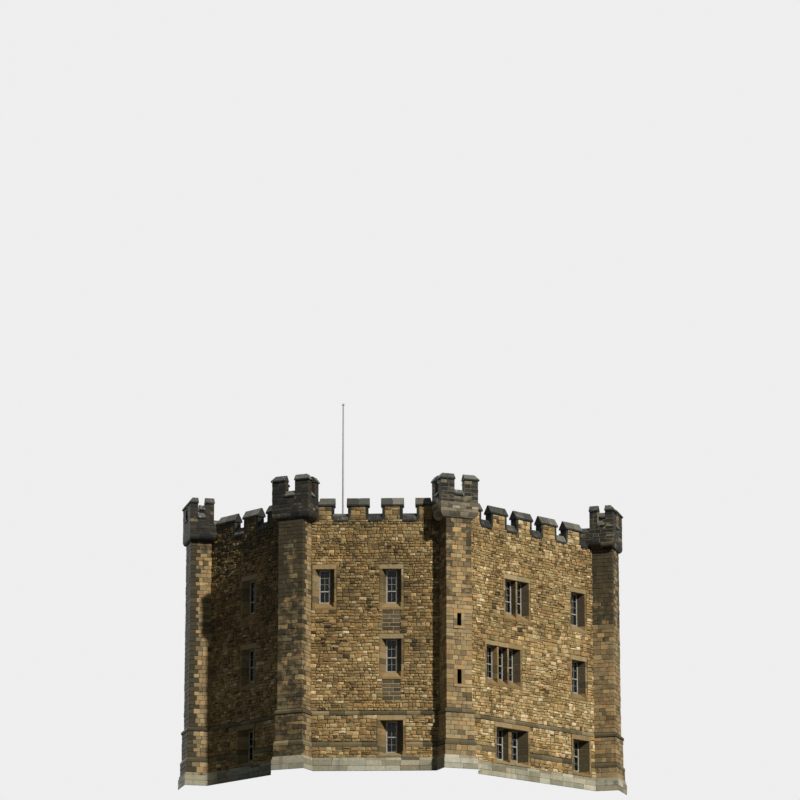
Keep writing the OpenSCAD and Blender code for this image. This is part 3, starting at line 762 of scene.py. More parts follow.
def laid_stone_tree():
    """Raises each flat cell of a wall or floor into a closed stone with a worn, uneven face."""
    tree, given, result = geometry_tree("laid_stones", [
        ("Relief Min", "Float", 0.006), ("Relief Max", "Float", 0.03),
        ("Shoulder", "Float", 0.86), ("Roughness", "Float", 0.01), ("Crown", "Float", 0.01),
        ("Seed", "Int", 1), ("Material", "Material", None),
    ])
    cells, crown = given.outputs["Geometry"], given.outputs["Crown"]
    relief = grow(tree, "FunctionNodeRandomValue", {"data_type": "FLOAT"}, {
        2: given.outputs["Relief Min"], 3: given.outputs["Relief Max"],
        "Seed": given.outputs["Seed"]}).outputs[1]
    mesh, chosen = cells, None
    for offset, share, scale in (
        (relief, None, None),
        (crown, given.outputs["Shoulder"], SHOULDER_NOISE),
        (crown, CROWN_SHARE, CROWN_NOISE),
    ):
        raised = grow(tree, "GeometryNodeExtrudeMesh", {"mode": "FACES"}, {
            "Mesh": mesh, **chosen_only(chosen), "Offset Scale": offset, "Individual": True})
        mesh, chosen = raised.outputs["Mesh"], raised.outputs["Top"]
        if scale:
            mesh = grow(tree, "GeometryNodeScaleElements", {"domain": "FACE"}, {
                "Geometry": mesh, "Selection": chosen, "Scale": share}).outputs["Geometry"]
            mesh = shifted(tree, mesh, chosen, scale, given.outputs["Roughness"])
    backs = grow(tree, "GeometryNodeFlipFaces", {}, {"Mesh": cells})
    joined = grow(tree, "GeometryNodeJoinGeometry", {}, {})
    tree.links.new(mesh, joined.inputs["Geometry"])
    tree.links.new(backs.outputs["Mesh"], joined.inputs["Geometry"])
    closed = grow(tree, "GeometryNodeMergeByDistance", {}, {
        "Geometry": joined.outputs["Geometry"], "Distance": SEAM})
    return end_tree(tree, closed.outputs["Geometry"], given, result)


def weathered_tree():
    """Cuts the flat faces of a stone finer and wears them by a slow noise."""
    tree, given, result = geometry_tree("weathered_stones", [
        ("Cuts", "Int", 1), ("Wear", "Float", 0.012), ("Material", "Material", None)])
    cut = grow(tree, "GeometryNodeSubdivideMesh", {}, {
        "Mesh": given.outputs["Geometry"], "Level": given.outputs["Cuts"]})
    worn = shifted(tree, cut.outputs["Mesh"], None, WEAR_NOISE, given.outputs["Wear"])
    return end_tree(tree, worn, given, result)


LAID_STONES = laid_stone_tree()
WEATHERED = weathered_tree()


class Cells:
    """Flat cells laid on walls and floors, which the laid stone tree raises."""

    def __init__(self):
        self.corners, self.faces, self.tones, self.soots = [], [], [], []

    def add(self, corners, tone, soot):
        start = len(self.corners)
        self.corners += corners
        self.faces.append([start + k for k in range(len(corners))])
        self.tones.append(tone)
        self.soots.append(soot)

    def piece(self, name, finish, slot, seed, relief, rough, shoulder, crown):
        """Makes the cells one piece, raised into stones by between two amounts."""
        flat = toned_mesh(name, self.corners, self.faces, self.tones, self.soots)
        made = baked(name, flat, [("NODES", {"node_group": LAID_STONES, "inputs": {
            "Relief Min": relief[0], "Relief Max": relief[1], "Shoulder": shoulder,
            "Roughness": rough, "Crown": crown, "Seed": seed, "Material": finishes[finish]}})])
        finished(name, made, finish)


# Windows and gaps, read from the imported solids

REVEAL_MIDDLE = 0.3
# A window's stones and lights have their middles within these of its sash.
NEAR_SASH = 0.8
OVER_SASH = 0.6
# Upright stones whose middles are nearer than this to the sash's side are its jambs.
JAMB_LAP = 0.2


class Window:
    """A window of a face: its sash, its lights and the stones round it."""

    def __init__(self, sash):
        self.face = face_near(sash.middle, REVEAL_MIDDLE)
        self.place = FACE_PLACES[self.face]
        self.sash = sash
        self.x = sash.span(self.place, X)
        self.z = sash.span(self.place, Z)
        self.middle = sum(self.x) / 2
        self.stones = []
        self.lights = []

    def holds(self, solid):
        """Whether a stone or a light belongs to this window."""
        middle = self.place.local(solid.middle)
        return (face_near(solid.middle, REVEAL_MIDDLE) == self.face
                and self.x[0] - NEAR_SASH < middle.x < self.x[1] + NEAR_SASH
                and self.z[0] - NEAR_SASH < middle.z < self.z[1] + OVER_SASH)

    def beside(self, x):
        """Whether a place along the wall is at a jamb, not where a mullion may stand."""
        return abs(x - self.middle) > (self.x[1] - self.x[0]) / 2 - JAMB_LAP

    def rim(self):
        """The rectangle that the surround takes up on the wall."""
        (x0, x1), (z0, z1) = (
            list(zip(*(s.span(self.place, axis) for s in self.stones))) for axis in (X, Z))
        return min(x0), max(x1), min(z0), max(z1)


def window_of(solid):
    return next(window for window in WINDOWS if window.holds(solid))


WINDOWS = [Window(sash) for sash in solids("window_sashes")]
for surround_stone in solids("window_surrounds"):
    window_of(surround_stone).stones.append(surround_stone)
for pane in solids("window_glass"):
    window_of(pane).lights.append(pane)

# The coping stones in the gaps lie lower than the merlons' tops by more than this.
GAP_DROP = 0.2


def parapet_gaps(k):
    """Gaps of a face's parapet, from the coping stones that lie in them."""
    place = FACE_PLACES[k]
    found = []
    for stone in PARAPET_COPINGS:
        x, y, z = place.local(stone.middle)
        over = abs(y - PARAPET_T / 2) < PARAPET_T / 2
        if over and 0 < x < FACE_LEN[k] and z < MERLON_Z - GAP_DROP:
            found.append(stone.span(place, X))
    return sorted(found)


GAPS = [parapet_gaps(k) for k in range(SIDES)]


# Rubble walls

# No bed joint comes nearer to the next than this share of the lowest course.
LEAST_COURSE = 0.6
LEAST_OVERLAP = 0.03
LEAST_RUN = 0.06


def courses(rng, bottom, top, tall, forced=()):
    """Courses between two levels as pairs of heights, with a joint at each forced height."""
    near = tall[0] * LEAST_COURSE
    marks = [bottom, *sorted(z for z in set(forced) if bottom + near < z < top - near), top]
    lines = [bottom]
    for low, high in pairwise(marks):
        count = max(1, round((high - low) / (sum(tall) / 2)))
        parts = [rng.uniform(*tall) for _ in range(count)]
        z = low
        for part in parts[:-1]:
            z += part * (high - low) / sum(parts)
            lines.append(z)
        lines.append(high)
    return list(pairwise(lines))


def without(runs, low, high, least):
    """Runs with the stretch between two values taken out, and what is left too short."""
    return [part for a, b in runs for part in ((a, min(b, low)), (max(a, high), b))
            if part[1] - part[0] > least]


def free_runs(run, low, high, rims):
    """Stretches of a course that no window or gap takes up."""
    runs = [run]
    for x0, x1, z0, z1 in rims:
        if min(high, z1) - max(low, z0) > LEAST_OVERLAP:
            runs = without(runs, x0, x1, LEAST_RUN)
    return runs


RUBBLE_JOINT = 0.02
# The bed joints wander by up to this, in a noise that is finer along the wall than up it.
BED_WANDER = 0.07
BED_NOISE = (0.9, 0.5)
# The corners of the stones lie off true by up to these, along the wall and up it.
CORNER_SHIFT = (0.014, 0.012)
RUBBLE_TONE = 0.38
RUBBLE_SPREAD = 0.13
# Scale and strength of the patches in which stones of like tone lie together
TONE_PATCHES = ((0.5, 0.22), (1.9, 0.14))
# About one stone in fourteen is much paler, and one in fourteen much darker.
ODD_SHARE = 0.07
ODD_TONES = (0.28, -0.26)
RUBBLE_SOOT_SPREAD = 0.1
# This share of the stones in a course taller than this lies split, in two parts.
SPLIT_SHARE = 0.3
SPLIT_TALL = 0.17
SPLIT_AT = (0.36, 0.64)
# Shares of the shortest and of the longest stone between which the last of a run lies
LAST_SHORT = 0.7
LAST_LONG = 1.25


class Rubble:
    """Lays courses of roughly squared stones on the flat faces of one wall."""

    def __init__(self, seed, tone):
        self.random = random.Random(seed)
        self.seed = seed
        self.tone = tone
        self.cells = Cells()
        self.bounds = ()

    def bed(self, x, z):
        """How far the wavy bed joints lie off level, which fades out at every edge."""
        (x0, x1, z0, z1), rims = self.bounds
        room = min(x - x0, x1 - x, z - z0, z1 - z)
        for a, b, low, high in rims:
            room = min(room, max(a - x, x - b, low - z, z - high))
        along, up = BED_NOISE
        wave = noise.noise(Vector((x * along, z * up, self.seed * 3.7)))
        return wave * min(BED_WANDER, max(room, 0.0) * 0.25)

    def stone(self, place, y, xs, zs, soot):
        """A cell for one stone, its corners shifted and its tone like its neighbours'."""
        gap = RUBBLE_JOINT / 2
        x0, x1, z0, z1 = xs[0] + gap, xs[1] - gap, zs[0] + gap, zs[1] - gap
        corners = []
        for x, z in ((x0, z0), (x1, z0), (x1, z1), (x0, z1)):
            drop = self.bed(x, z)
            along, up = (self.random.uniform(-most, most) for most in CORNER_SHIFT)
            corners.append(place.point(x + along, y, z + drop + up))
        middle = place.point(sum(xs) / 2, y, sum(zs) / 2)
        patch = sum(noise.noise(middle * scale) * strength for scale, strength in TONE_PATCHES)
        tone = RUBBLE_TONE + self.tone + height_tone(middle.z) + patch
        tone += self.random.gauss(0, RUBBLE_SPREAD)
        odd = self.random.random()
        if odd > 1 - 2 * ODD_SHARE:
            tone += ODD_TONES[0] if odd > 1 - ODD_SHARE else ODD_TONES[1]
        self.cells.add(corners, limit(tone), limit(soot + self.random.gauss(0, RUBBLE_SOOT_SPREAD)))

    def course(self, place, y, run, zs, wide, soot):
        """Stones along one course, some of them two low ones over each other."""
        x, end = run
        low, high = zs
        while end - x > 0.001:
            width = self.random.uniform(*wide)
            if end - x - width < wide[0] * LAST_SHORT:
                width = end - x
            if width > wide[1] * LAST_LONG:
                width /= 2
            split = self.random.random() < SPLIT_SHARE and high - low > SPLIT_TALL
            middle = low + (high - low) * self.random.uniform(*SPLIT_AT)
            for bottom, top in ([(low, middle), (middle, high)] if split else [zs]):
                self.stone(place, y, (x, x + width), (bottom, top), soot((bottom + top) / 2))
            x += width

    def face(self, place, y, run, levels, tall, wide, rims, soot):
        """Courses over one flat face, round the rims of its windows or gaps."""
        self.bounds = ((*run, *levels), rims)
        forced = [z for rim in rims for z in rim[2:]]
        for low, high in courses(self.random, *levels, tall, forced):
            for stretch in free_runs(run, low, high, rims):
                self.course(place, y, stretch, (low, high), wide, soot)

    def piece(self, name, relief, rough):
        self.cells.piece(name, "rubble", "rubble_stone", self.seed, relief, rough,
                         shoulder=0.8, crown=0.01)


# Heights where the size of the upper walls' rubble changes
MIDDLE_RUBBLE_Z = 6.0
UPPER_RUBBLE_Z = 10.0
# Rubble by height: bottom, top, growth, height and length of the stones
RUBBLE_ZONES = [
    (PLINTH_Z, LEDGE_Z, LOW_OUT, (0.18, 0.27), (0.2, 0.46)),
    (LEDGE_TOP_Z, STRING_Z, MID_OUT, (0.15, 0.24), (0.17, 0.42)),
    (STRING_TOP_Z, MIDDLE_RUBBLE_Z, 0.0, (0.13, 0.22), (0.14, 0.38)),
    (MIDDLE_RUBBLE_Z, UPPER_RUBBLE_Z, 0.0, (0.15, 0.26), (0.16, 0.44)),
    (UPPER_RUBBLE_Z, PARAPET_Z, 0.0, (0.12, 0.21), (0.13, 0.34)),
]
# How much paler each face of the keep is, and how sooty, in the order of the faces. On the two left
# faces the darker tone and the soot are painted shade.
WALL_TONES_AND_SHADE = [0.0, 0.15, 0.0, 0.0, 0.0, 0.0, -0.03, -0.05]
WALL_SOOT_AND_SHADE = [0.0, 0.0, 0.05, 0.05, 0.05, 0.05, 0.15, 0.34]
WALL_RELIEF = (0.008, 0.06)
WALL_ROUGH = 0.045
# Heights where soot begins on a sooty face and under every parapet, and how far up it grows
FACE_SOOT_Z, FACE_SOOT_RUN = 5.0, 7.0
HEAD_SOOT_Z, HEAD_SOOT_RUN, HEAD_SOOT = 11.4, 2.6, 0.5
# What the walls gain in tone by height: an amount, where it starts, and how far it grows
HEIGHT_TONES = ((0.13, 6.8, -1.2), (0.05, 9.5, 1.0), (-0.08, LEDGE_TOP_Z + 0.4, -0.4))
# Half of a fine joint
FINE_GAP = 0.004
INFILL_HALF = 0.5
INFILL_TALL = 1.16


def infill_rims():
    """Old openings below the two upper right windows of the front, closed with stone."""
    rims = []
    for window in WINDOWS:
        x = window.middle
        if window.face == 0 and x > FACE_LEN[0] / 2 and window.z[0] > STRING_Z:
            sill = window.rim()[2]
            rims.append((x - INFILL_HALF, x + INFILL_HALF, sill - INFILL_TALL, sill))
    return rims


def fading(z, start, length):
    """Rises from 0 to 1 over a length that starts at a height. A minus length goes down."""
    return limit((z - start) / length)


def wall_soot(z):
    """Rain and smoke darken the wall head under the parapet."""
    return fading(z, HEAD_SOOT_Z, HEAD_SOOT_RUN) * HEAD_SOOT


def face_soot_and_shade(k, z):
    """Some faces of the keep are darker than others, and more so higher up: soot, and on the left
    faces painted shade.
    """
    return WALL_SOOT_AND_SHADE[k] * fading(z, FACE_SOOT_Z, FACE_SOOT_RUN)


def height_tone(z):
    """The stone is paler low on the wall and a little under its head, but not at its foot."""
    return sum(amount * fading(z, start, length) for amount, start, length in HEIGHT_TONES)


def lay_wall(k):
    """The outer face of one wall, storey by storey."""
    # The face's tone and soot include painted shade on the two left faces.
    rubble = Rubble(100 + k, WALL_TONES_AND_SHADE[k])
    rims = [w.rim() for w in WINDOWS if w.face == k] + (infill_rims() if k == 0 else [])
    for bottom, top, g, tall, wide in RUBBLE_ZONES:
        run = (foot_on_face(k, g) + FINE_GAP, FACE_LEN[k] - foot_on_face(k + 1, g) - FINE_GAP)
        rubble.face(FACE_PLACES[k], -g, run, (bottom, top), tall, wide, rims,
                    lambda z: wall_soot(z) + face_soot_and_shade(k, z))
    rubble.piece(FACES[k] + "_wall_rubble", WALL_RELIEF, WALL_ROUGH)


# Upright stones at the merlons' ends
CHEEK_W = 0.13
CHEEK_PROUD = 0.02
CHEEK_FOOT = PARAPET_Z + 0.12
CHEEK_TALL = (0.3, 0.44)
# How far they lap over the gap's side, and how much they differ in width
CHEEK_LAP = 0.012
CHEEK_SHARES = (0.8, 1.2)
# A gap's side nearer than this to the turret has no merlon and no such stone.
LEAST_MERLON = 0.05
# Height, length and soot of the parapets' rubble, outside and inside
PARAPET_TALL = (0.17, 0.26)
PARAPET_WIDE = (0.22, 0.5)
PARAPET_SOOT = (0.35, 0.3)
PARAPET_RELIEF = (0.006, 0.024)
PARAPET_ROUGH = 0.02


def lay_parapet(k):
    """Outer and inner faces of a parapet, with room left for the stones beside its gaps."""
    rubble = Rubble(200 + k, WALL_TONES_AND_SHADE[k])
    place = FACE_PLACES[k]
    start, end = run_ends(k)
    rims = [(a - CHEEK_W, b + CHEEK_W, CHEEK_FOOT, MERLON_Z) for a, b in GAPS[k]]
    rims += [(a, b, PARAPET_Z - NEAR, CHEEK_FOOT) for a, b in GAPS[k]]
    rubble.face(place, 0.0, (start, end), (PARAPET_Z, MERLON_Z), PARAPET_TALL, PARAPET_WIDE,
                rims, lambda z: PARAPET_SOOT[0] + WALL_SOOT_AND_SHADE[k])
    inside = Place(place.point(end, PARAPET_T, 0), -place.along)
    turned = [(end - b, end - a, z0, z1) for a, b, z0, z1 in rims]
    inner_run = (PARAPET_T * math.tan(HALF_TURNS[(k + 1) % SIDES]),
                 end - start - PARAPET_T * math.tan(HALF_TURNS[k]))
    rubble.face(inside, 0.0, inner_run, (WALK_Z, MERLON_Z), PARAPET_TALL, PARAPET_WIDE,
                turned, lambda z: PARAPET_SOOT[1])
    rubble.piece(FACES[k] + "_parapet_rubble", PARAPET_RELIEF, PARAPET_ROUGH)


def lay_cheeks():
    """Upright stones that turn the merlons' ends beside the gaps, dark as the copings: sooty, and
    darker still as painted shade of the ends turned from the sun.
    """
    stones = Stones(250)
    for k in range(SIDES):
        start, end = run_ends(k)
        for a, b in GAPS[k]:
            for x, side in ((a, -1), (b, 1)):
                if min(x - start, end - x) < LEAST_MERLON:
                    continue
                for low, high in courses(stones.random, CHEEK_FOOT, MERLON_Z, CHEEK_TALL):
                    wide = CHEEK_W * stones.random.uniform(*CHEEK_SHARES)
                    xs = sorted((x - side * CHEEK_LAP, x + side * wide))
                    # The cheek stones' dark tone and heavy soot are partly painted shade.
                    stones.block(FACE_PLACES[k], xs, (-CHEEK_PROUD, PARAPET_T + CHEEK_PROUD),
                                 (low + FINE_GAP, high - FINE_GAP),
                                 stones.vary(*TONES["cheek"]), SOOTS["cheek"], jitter=0.004)
    stones.piece("parapet_cheek_stones", "coping", "coping_stone", bevel=0.012, cuts=2,
                 wear=0.014)


# Corner buttresses

SLIT_CORNER = 1


def slit_points():
    """Corners of the slit windows where they open in the face of their buttress."""
    place = CORNER_PLACES[SLIT_CORNER]
    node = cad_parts[CORNERS[SLIT_CORNER] + "_buttress"]
    points = [place.local(v.co) for v in node.data.vertices]
    return [p for p in points if abs(p.x) < BUTTRESS_HALF / 2 and p.y < -BUTTRESS_OUT + NEAR
            and STRING_TOP_Z < p.z < PARAPET_Z - 0.1]


SLIT_ENDS = sorted({round(p.z, 3) for p in slit_points()})
SLITS = list(zip(SLIT_ENDS[::2], SLIT_ENDS[1::2]))
SLIT_HALF = max(p.x for p in slit_points() if abs(p.z - SLIT_ENDS[0]) < NEAR)
SLIT_JAMB = 0.2
SLIT_SILL = 0.17
SLIT_LINTEL = 0.25
# How sooty each buttress is, in the order of the corners; the left buttress's heavy amount is painted
# shade.
BUTTRESS_SOOT_AND_SHADE = [0.62, 0.05, 0.3, 0.25, 0.25, 0.25, 0.3, 1.1]
# The side to the sun has less soot: partly washed, partly painted light.
LIT_SHARE = 0.25
# Dark streaks run down the corners under the turrets, above this height.
STREAK_Z = 9.4
STREAK_SOOT = 0.5
# How much darker a block is where its buttress is sooty
SOOTED_TONE = 0.3
BLOCK_JOINT = 0.009
BLOCK_TALL = (0.18, 0.3)
BLOCK_WIDE = 0.38
# Long and short ends of the corner stones, which lie turned by courses
LONG_FRONT, SHORT_FRONT = (0.42, 0.58), (0.22, 0.34)
LONG_FLANK, SHORT_FLANK = (0.4, 0.56), (0.22, 0.34)
SIDE_BLOCK = (0.22, 0.46)
LEAST_BLOCK = 0.16
CORNER_PROUD = (0.016, 0.03)
BLOCK_PROUD = (0.014, 0.028)


def buttress_course(stones, k, g, zs, turned, slit):
    """Two corner stones, and smaller stones between them and back to the wall."""
    place = CORNER_PLACES[k]
    rng = stones.random
    half, front, foot = BUTTRESS_HALF + g, -BUTTRESS_OUT - g, -side_foot(k, g)
    gap = BLOCK_JOINT / 2
    height = (zs[0] + gap, zs[1] - gap)
    soot = wall_soot(zs[0]) * 0.8

    def put(xs, ys):
        # Less soot on the sunlit side, partly as painted light.
        lit = ys[0] > front + 0.1 and xs[0] > 0
        dark = BUTTRESS_SOOT_AND_SHADE[k] * (LIT_SHARE if lit else 1.0)
        streaked = zs[0] > STREAK_Z and max(map(abs, xs)) > half - 0.1 and not lit
        tone = limit(rng.gauss(*TONES["buttress"]) - dark * SOOTED_TONE)
        amount = soot + dark + (STREAK_SOOT if streaked else 0.0) + rng.gauss(0, 0.1)
        stones.block(place, xs, ys, height, tone, limit(amount), jitter=0.008)

    inner = []
    for side in (-1, 1):
        long_front = turned == (side < 0)
        along = rng.uniform(*(LONG_FRONT if long_front else SHORT_FRONT))
        deep = rng.uniform(*(SHORT_FLANK if long_front else LONG_FLANK))
        if slit:
            along = half - SLIT_HALF - SLIT_JAMB - gap
        proud = rng.uniform(*CORNER_PROUD)
        put(sorted((side * (half + proud), side * (half - along))),
            (front - proud, front + deep))
        inner.append(half - along)
        y = front + deep + BLOCK_JOINT
        while foot - y > 0.05:
            long = rng.uniform(*SIDE_BLOCK)
            long = foot - y if foot - y - long < LEAST_BLOCK else long
            proud = rng.uniform(*BLOCK_PROUD)
            put(sorted((side * (half + proud), side * (half - 0.1))),
                (y, y + long - BLOCK_JOINT))
            y += long
    if slit:
        return
    left, right = -inner[0] + BLOCK_JOINT, inner[1] - BLOCK_JOINT
    count = max(1, round((right - left) / BLOCK_WIDE))
    for n in range(count):
        proud = rng.uniform(*BLOCK_PROUD)
        x0 = left + (right - left) * n / count + (gap if n else 0)
        x1 = left + (right - left) * (n + 1) / count - (gap if n < count - 1 else 0)
        put((x0, x1), (front - proud, front + 0.12))


def lay_buttress(k):
    """Three lifts of squared blocks on a buttress, each set back on the one below."""
    stones = Stones(300 + k)
    slits = SLITS if k == SLIT_CORNER else []
    rims = [(z0 - SLIT_SILL, z1 + SLIT_LINTEL) for z0, z1 in slits]
    forced = [z for rim in rims for z in rim]
    for bottom, top, g in ((PLINTH_Z, LEDGE_Z, LOW_OUT), (LEDGE_TOP_Z, STRING_Z, MID_OUT),
                           (STRING_TOP_Z, PARAPET_Z, 0.0)):
        for n, zs in enumerate(courses(stones.random, bottom, top, BLOCK_TALL, forced)):
            middle = sum(zs) / 2
            slit = any(low < middle < high for low, high in rims)
            buttress_course(stones, k, g, zs, n % 2 == 0, slit)
    stones.piece(CORNERS[k] + "_buttress_blocks", "buttress", "buttress_stone", bevel=0.014)


# Corner turrets


# The copings of one turret have their middles within this of its corner.
TURRET_REACH = 2.5


def turret_marks():
    """Half width of a turret's front gap, its flank gaps' ends, and its tall walls' end."""
    place = CORNER_PLACES[0]
    mine = [s for s in TURRET_COPINGS if place.local(s.middle).to_2d().length < TURRET_REACH]
    sills = [s for s in mine if abs(s.span(place, Z)[0] - TURRET_SILL_Z) < NEAR]
    rear = next(s for s in mine if s.span(place, Z)[0] < TURRET_SILL_Z - 0.1)
    front = min(sills, key=lambda s: abs(place.local(s.middle).x))
    flank = max(sills, key=lambda s: place.local(s.middle).x)
    return front.span(place, X)[1], flank.span(place, Y), rear.span(place, Y)[0]


GAP_HALF, FLANK_GAP, TALL_END = turret_marks()
TURRET_JOINT = 0.018
TURRET_STONE = 0.46
TURRET_TALL = (0.17, 0.24)
TURRET_PROUD = (0.006, 0.016)
# Soot of each turret's foot and head, in the order of the corners
TURRET_SOOT = [(0.85, 1.0), (0.1, 1.0), (0.8, 1.0), (0.4, 0.7),
               (0.4, 0.7), (0.4, 0.7), (0.45, 0.75), (0.9, 1.0)]
# The top course of the front right turret is cleaner.
CLEAN_TURRET = 1
CLEAN_SOOT = 0.3


def turret_tone(stones, soot):
    """A tone for a turret's stone, darker where there is more soot."""
    middle, spread = TONES["turret"]
    return stones.vary(middle - soot * 0.2, spread)


def uneven_marks(rng, start, end, count, off):
    """Marks that part a stretch in a number of stones of like length."""
    inner = [start + (end - start) * (n + rng.uniform(-off, off)) / count
             for n in range(1, count)]
    return [start, *inner, end]


def split_run(rng, start, end):
    """A stretch of a turret's wall cut into stones, with joints between them."""
    count = max(1, math.ceil((end - start) / TURRET_STONE))
    marks = uneven_marks(rng, start, end, count, 0.15)
    return [(a + TURRET_JOINT / 2, b - TURRET_JOINT / 2) for a, b in pairwise(marks)]


def turret_course(stones, k, zs, turned, open_gaps, back, soot):
    """One course of a turret's three walls, each stone as thick as the wall."""
    place = CORNER_PLACES[k]
    rng = stones.random
    height = (zs[0] + TURRET_JOINT / 2, zs[1] - TURRET_JOINT / 2)
    front_end = TURRET_HALF if turned else TURRET_HALF - TURRET_T
    flank_start = -TURRET_OUT + (TURRET_T if turned else 0)

    def put(xs, ys):
        stones.block(place, sorted(xs), ys, height, turret_tone(stones, soot),
                     limit(soot + rng.gauss(0, 0.2)), jitter=0.005)

    fronts, flanks = [(-front_end, front_end)], [(flank_start, back)]
    if open_gaps:
        fronts = [(GAP_HALF, front_end), (-front_end, -GAP_HALF)]
        flanks = [(flank_start, FLANK_GAP[0]), (FLANK_GAP[1], back)]
    for start, end in fronts:
        for xs in split_run(rng, start, end):
            proud = rng.uniform(*TURRET_PROUD)
            xs = [x + math.copysign(proud, x) if abs(abs(x) - TURRET_HALF) < NEAR else x
                  for x in xs]
            put(xs, (-TURRET_OUT - proud, -TURRET_OUT + TURRET_T + proud))
    for side in (-1, 1):
        for start, end in flanks:
            for y0, y1 in split_run(rng, start, end):
                proud = rng.uniform(*TURRET_PROUD)
                first = -TURRET_OUT - proud if y0 < -TURRET_OUT + NEAR else y0
                xs = (side * (TURRET_HALF + proud), side * (TURRET_HALF - TURRET_T - proud))
                put(xs, (first, y1))


def lay_turret(k):
    """The walls of a turret: whole at its foot and set back, then parted by its gaps."""
    stones = Stones(400 + k)
    low_soot, high_soot = TURRET_SOOT[k]
    for bottom, top, open_gaps, back, soot in (
        (CORBEL_TOP_Z, MERLON_Z, False, turret_back(k), low_soot),
        (MERLON_Z, TURRET_SILL_Z, False, TALL_END, (low_soot + high_soot) / 2),
        (TURRET_SILL_Z, TURRET_TOP_Z, True, TALL_END, high_soot),
    ):
        for n, zs in enumerate(courses(stones.random, bottom, top, TURRET_TALL)):
            clean = k == CLEAN_TURRET and zs[1] == TURRET_TOP_Z
            turret_course(stones, k, zs, n % 2 == 0, open_gaps, back,
                          CLEAN_SOOT if clean else soot)
    stones.piece(CORNERS[k] + "_turret_blocks", "turret", "turret_stone", cuts=1, wear=0.012)


CORBEL_STEPS = 6
CORBEL_DEEP = 0.08
CORBEL_PROUD = (0.006, 0.018)
CORBEL_GAP = 0.006
# Joints of the two courses of corbel stones, from the left flank round the front to the
# right. A flank runs from 1 at the front to 2 at the wall, the front from -1 to 1.
CORBEL_JOINTS = (
    [-2, -1.45, -1, -0.34, 0.3, 1, 1.5, 2],
    [-2, -1.55, -1, -0.55, 0.04, 0.5, 1, 1.4, 2],
)


def corbel_profile():
    """Growth of a quarter round, as pairs of the part of its reach and its height."""
    angles = [math.pi / 2 * n / CORBEL_STEPS for n in range(CORBEL_STEPS + 1)]
    rise = CORBEL_TOP_Z - PARAPET_Z
    return [(math.sin(a), PARAPET_Z + rise * (1 - math.cos(a))) for a in angles]


def corbel_sheet(k, profile, share, depth):
    """Points up the profile at one joint. Share is a place on the plan outline."""
    place = CORNER_PLACES[k]
    foot = BUTTRESS_HALF * math.tan(HALF_TURNS[k])
    points = []
    for reach, z in profile:
        half = BUTTRESS_HALF + (TURRET_HALF - BUTTRESS_HALF) * reach + depth
        front = -BUTTRESS_OUT - (TURRET_OUT - BUTTRESS_OUT) * reach - depth
        if abs(share) <= 1:
            points.append(place.point(half * share, front, z))
        else:
            y = front + (foot - front) * (abs(share) - 1)
            points.append(place.point(math.copysign(half, share), y, z))
    return points


def lay_corbels():
    """The quarter round courses of stones that carry each turret over its buttress."""
    stones = Stones(500)
    profile = corbel_profile()
    steps = CORBEL_STEPS // len(CORBEL_JOINTS)
    for k in range(SIDES):
        soot = TURRET_SOOT[k][0]
        for course, joints in enumerate(CORBEL_JOINTS):
            part = profile[course * steps:(course + 1) * steps + 1]
            for a, b in pairwise(joints):
                a += CORBEL_GAP if abs(a) not in (1, 2) else 0
                b -= CORBEL_GAP if abs(b) not in (1, 2) else 0
                proud = stones.random.uniform(*CORBEL_PROUD)
                first, last = (
                    corbel_sheet(k, part, share, proud)
                    + corbel_sheet(k, part, share, -CORBEL_DEEP)[::-1] for share in (a, b))
                stones.between(first, last, turret_tone(stones, soot),
                               soot + stones.random.gauss(0.05, 0.15))
    stones.piece("turret_corbel_stones", "turret", "turret_stone", cuts=1, wear=0.01)


# Courses that run round the keep

# The keep's plan has four sides to each corner: the three of a buttress, then the wall.
CORNER_SIDES = 4
WALL_SIDE = 3
# How far the stones of a course run in behind the wall's face
RING_TAIL = 0.04


def outline_point(k, j, g):
    """Corner j of buttress k's plan, grown by g: foot, front, front, foot."""
    if j == CORNER_SIDES:
        k, j = k + 1, 0
    k %= SIDES
    x = (BUTTRESS_HALF + g) * (-1 if j < 2 else 1)
    y = -side_foot(k, g) if j in (0, 3) else -(BUTTRESS_OUT + g)
    return CORNER_PLACES[k].point(x, y, 0)


def lay_ring(stones, section, long, gap, kind, skipped=None):
    """Stones of one section, as pairs of growth and height, laid right round the keep."""
    rng = stones.random
    for k in range(SIDES):
        for j in range(CORNER_SIDES):
            starts = [outline_point(k, j, g) for g, _ in section]
            ends = [outline_point(k, j + 1, g) for g, _ in section]
            run = (ends[1] - starts[1]).length
            along = (ends[1] - starts[1]).normalized()

            def ring(distance, shift):
                if distance == 0:
                    points = starts
                elif distance == run:
                    points = ends
                else:
                    points = [s + along * (distance - (s - starts[1]).dot(along))
                              for s in starts]
                return [p + along * shift + UP * z for p, (_, z) in zip(points, section)]

            stretches = [(0, run)]
            if skipped and j == WALL_SIDE:
                base = FACE_PLACES[k].local(starts[1]).x
                for a, b in skipped(k):
                    stretches = without(stretches, a - base, b - base, LEAST_RUN)
            for start, end in stretches:
                count = max(1, round((end - start) / long))
                marks = uneven_marks(rng, start, end, count, 0.14)
                for a, b in pairwise(marks):
                    stones.between(ring(a, gap), ring(b, -gap),
                                   stones.vary(*TONES[kind]),
                                   limit(SOOTS[kind] + rng.gauss(0, 0.12)))


def ground_window_rims(k):
    """Stretches of a face that its ground windows take out of the ledge."""
    return [w.rim()[:2] for w in WINDOWS if w.face == k and w.z[0] < STRING_Z]


LEDGE_LONG, STRING_LONG, PLINTH_LONG = 0.85, 0.9, 0.9
PLINTH_GAP = 0.005
# Height of the upright face of each course, under its slope
LEDGE_FACE = 0.15
STRING_FACE = 0.14


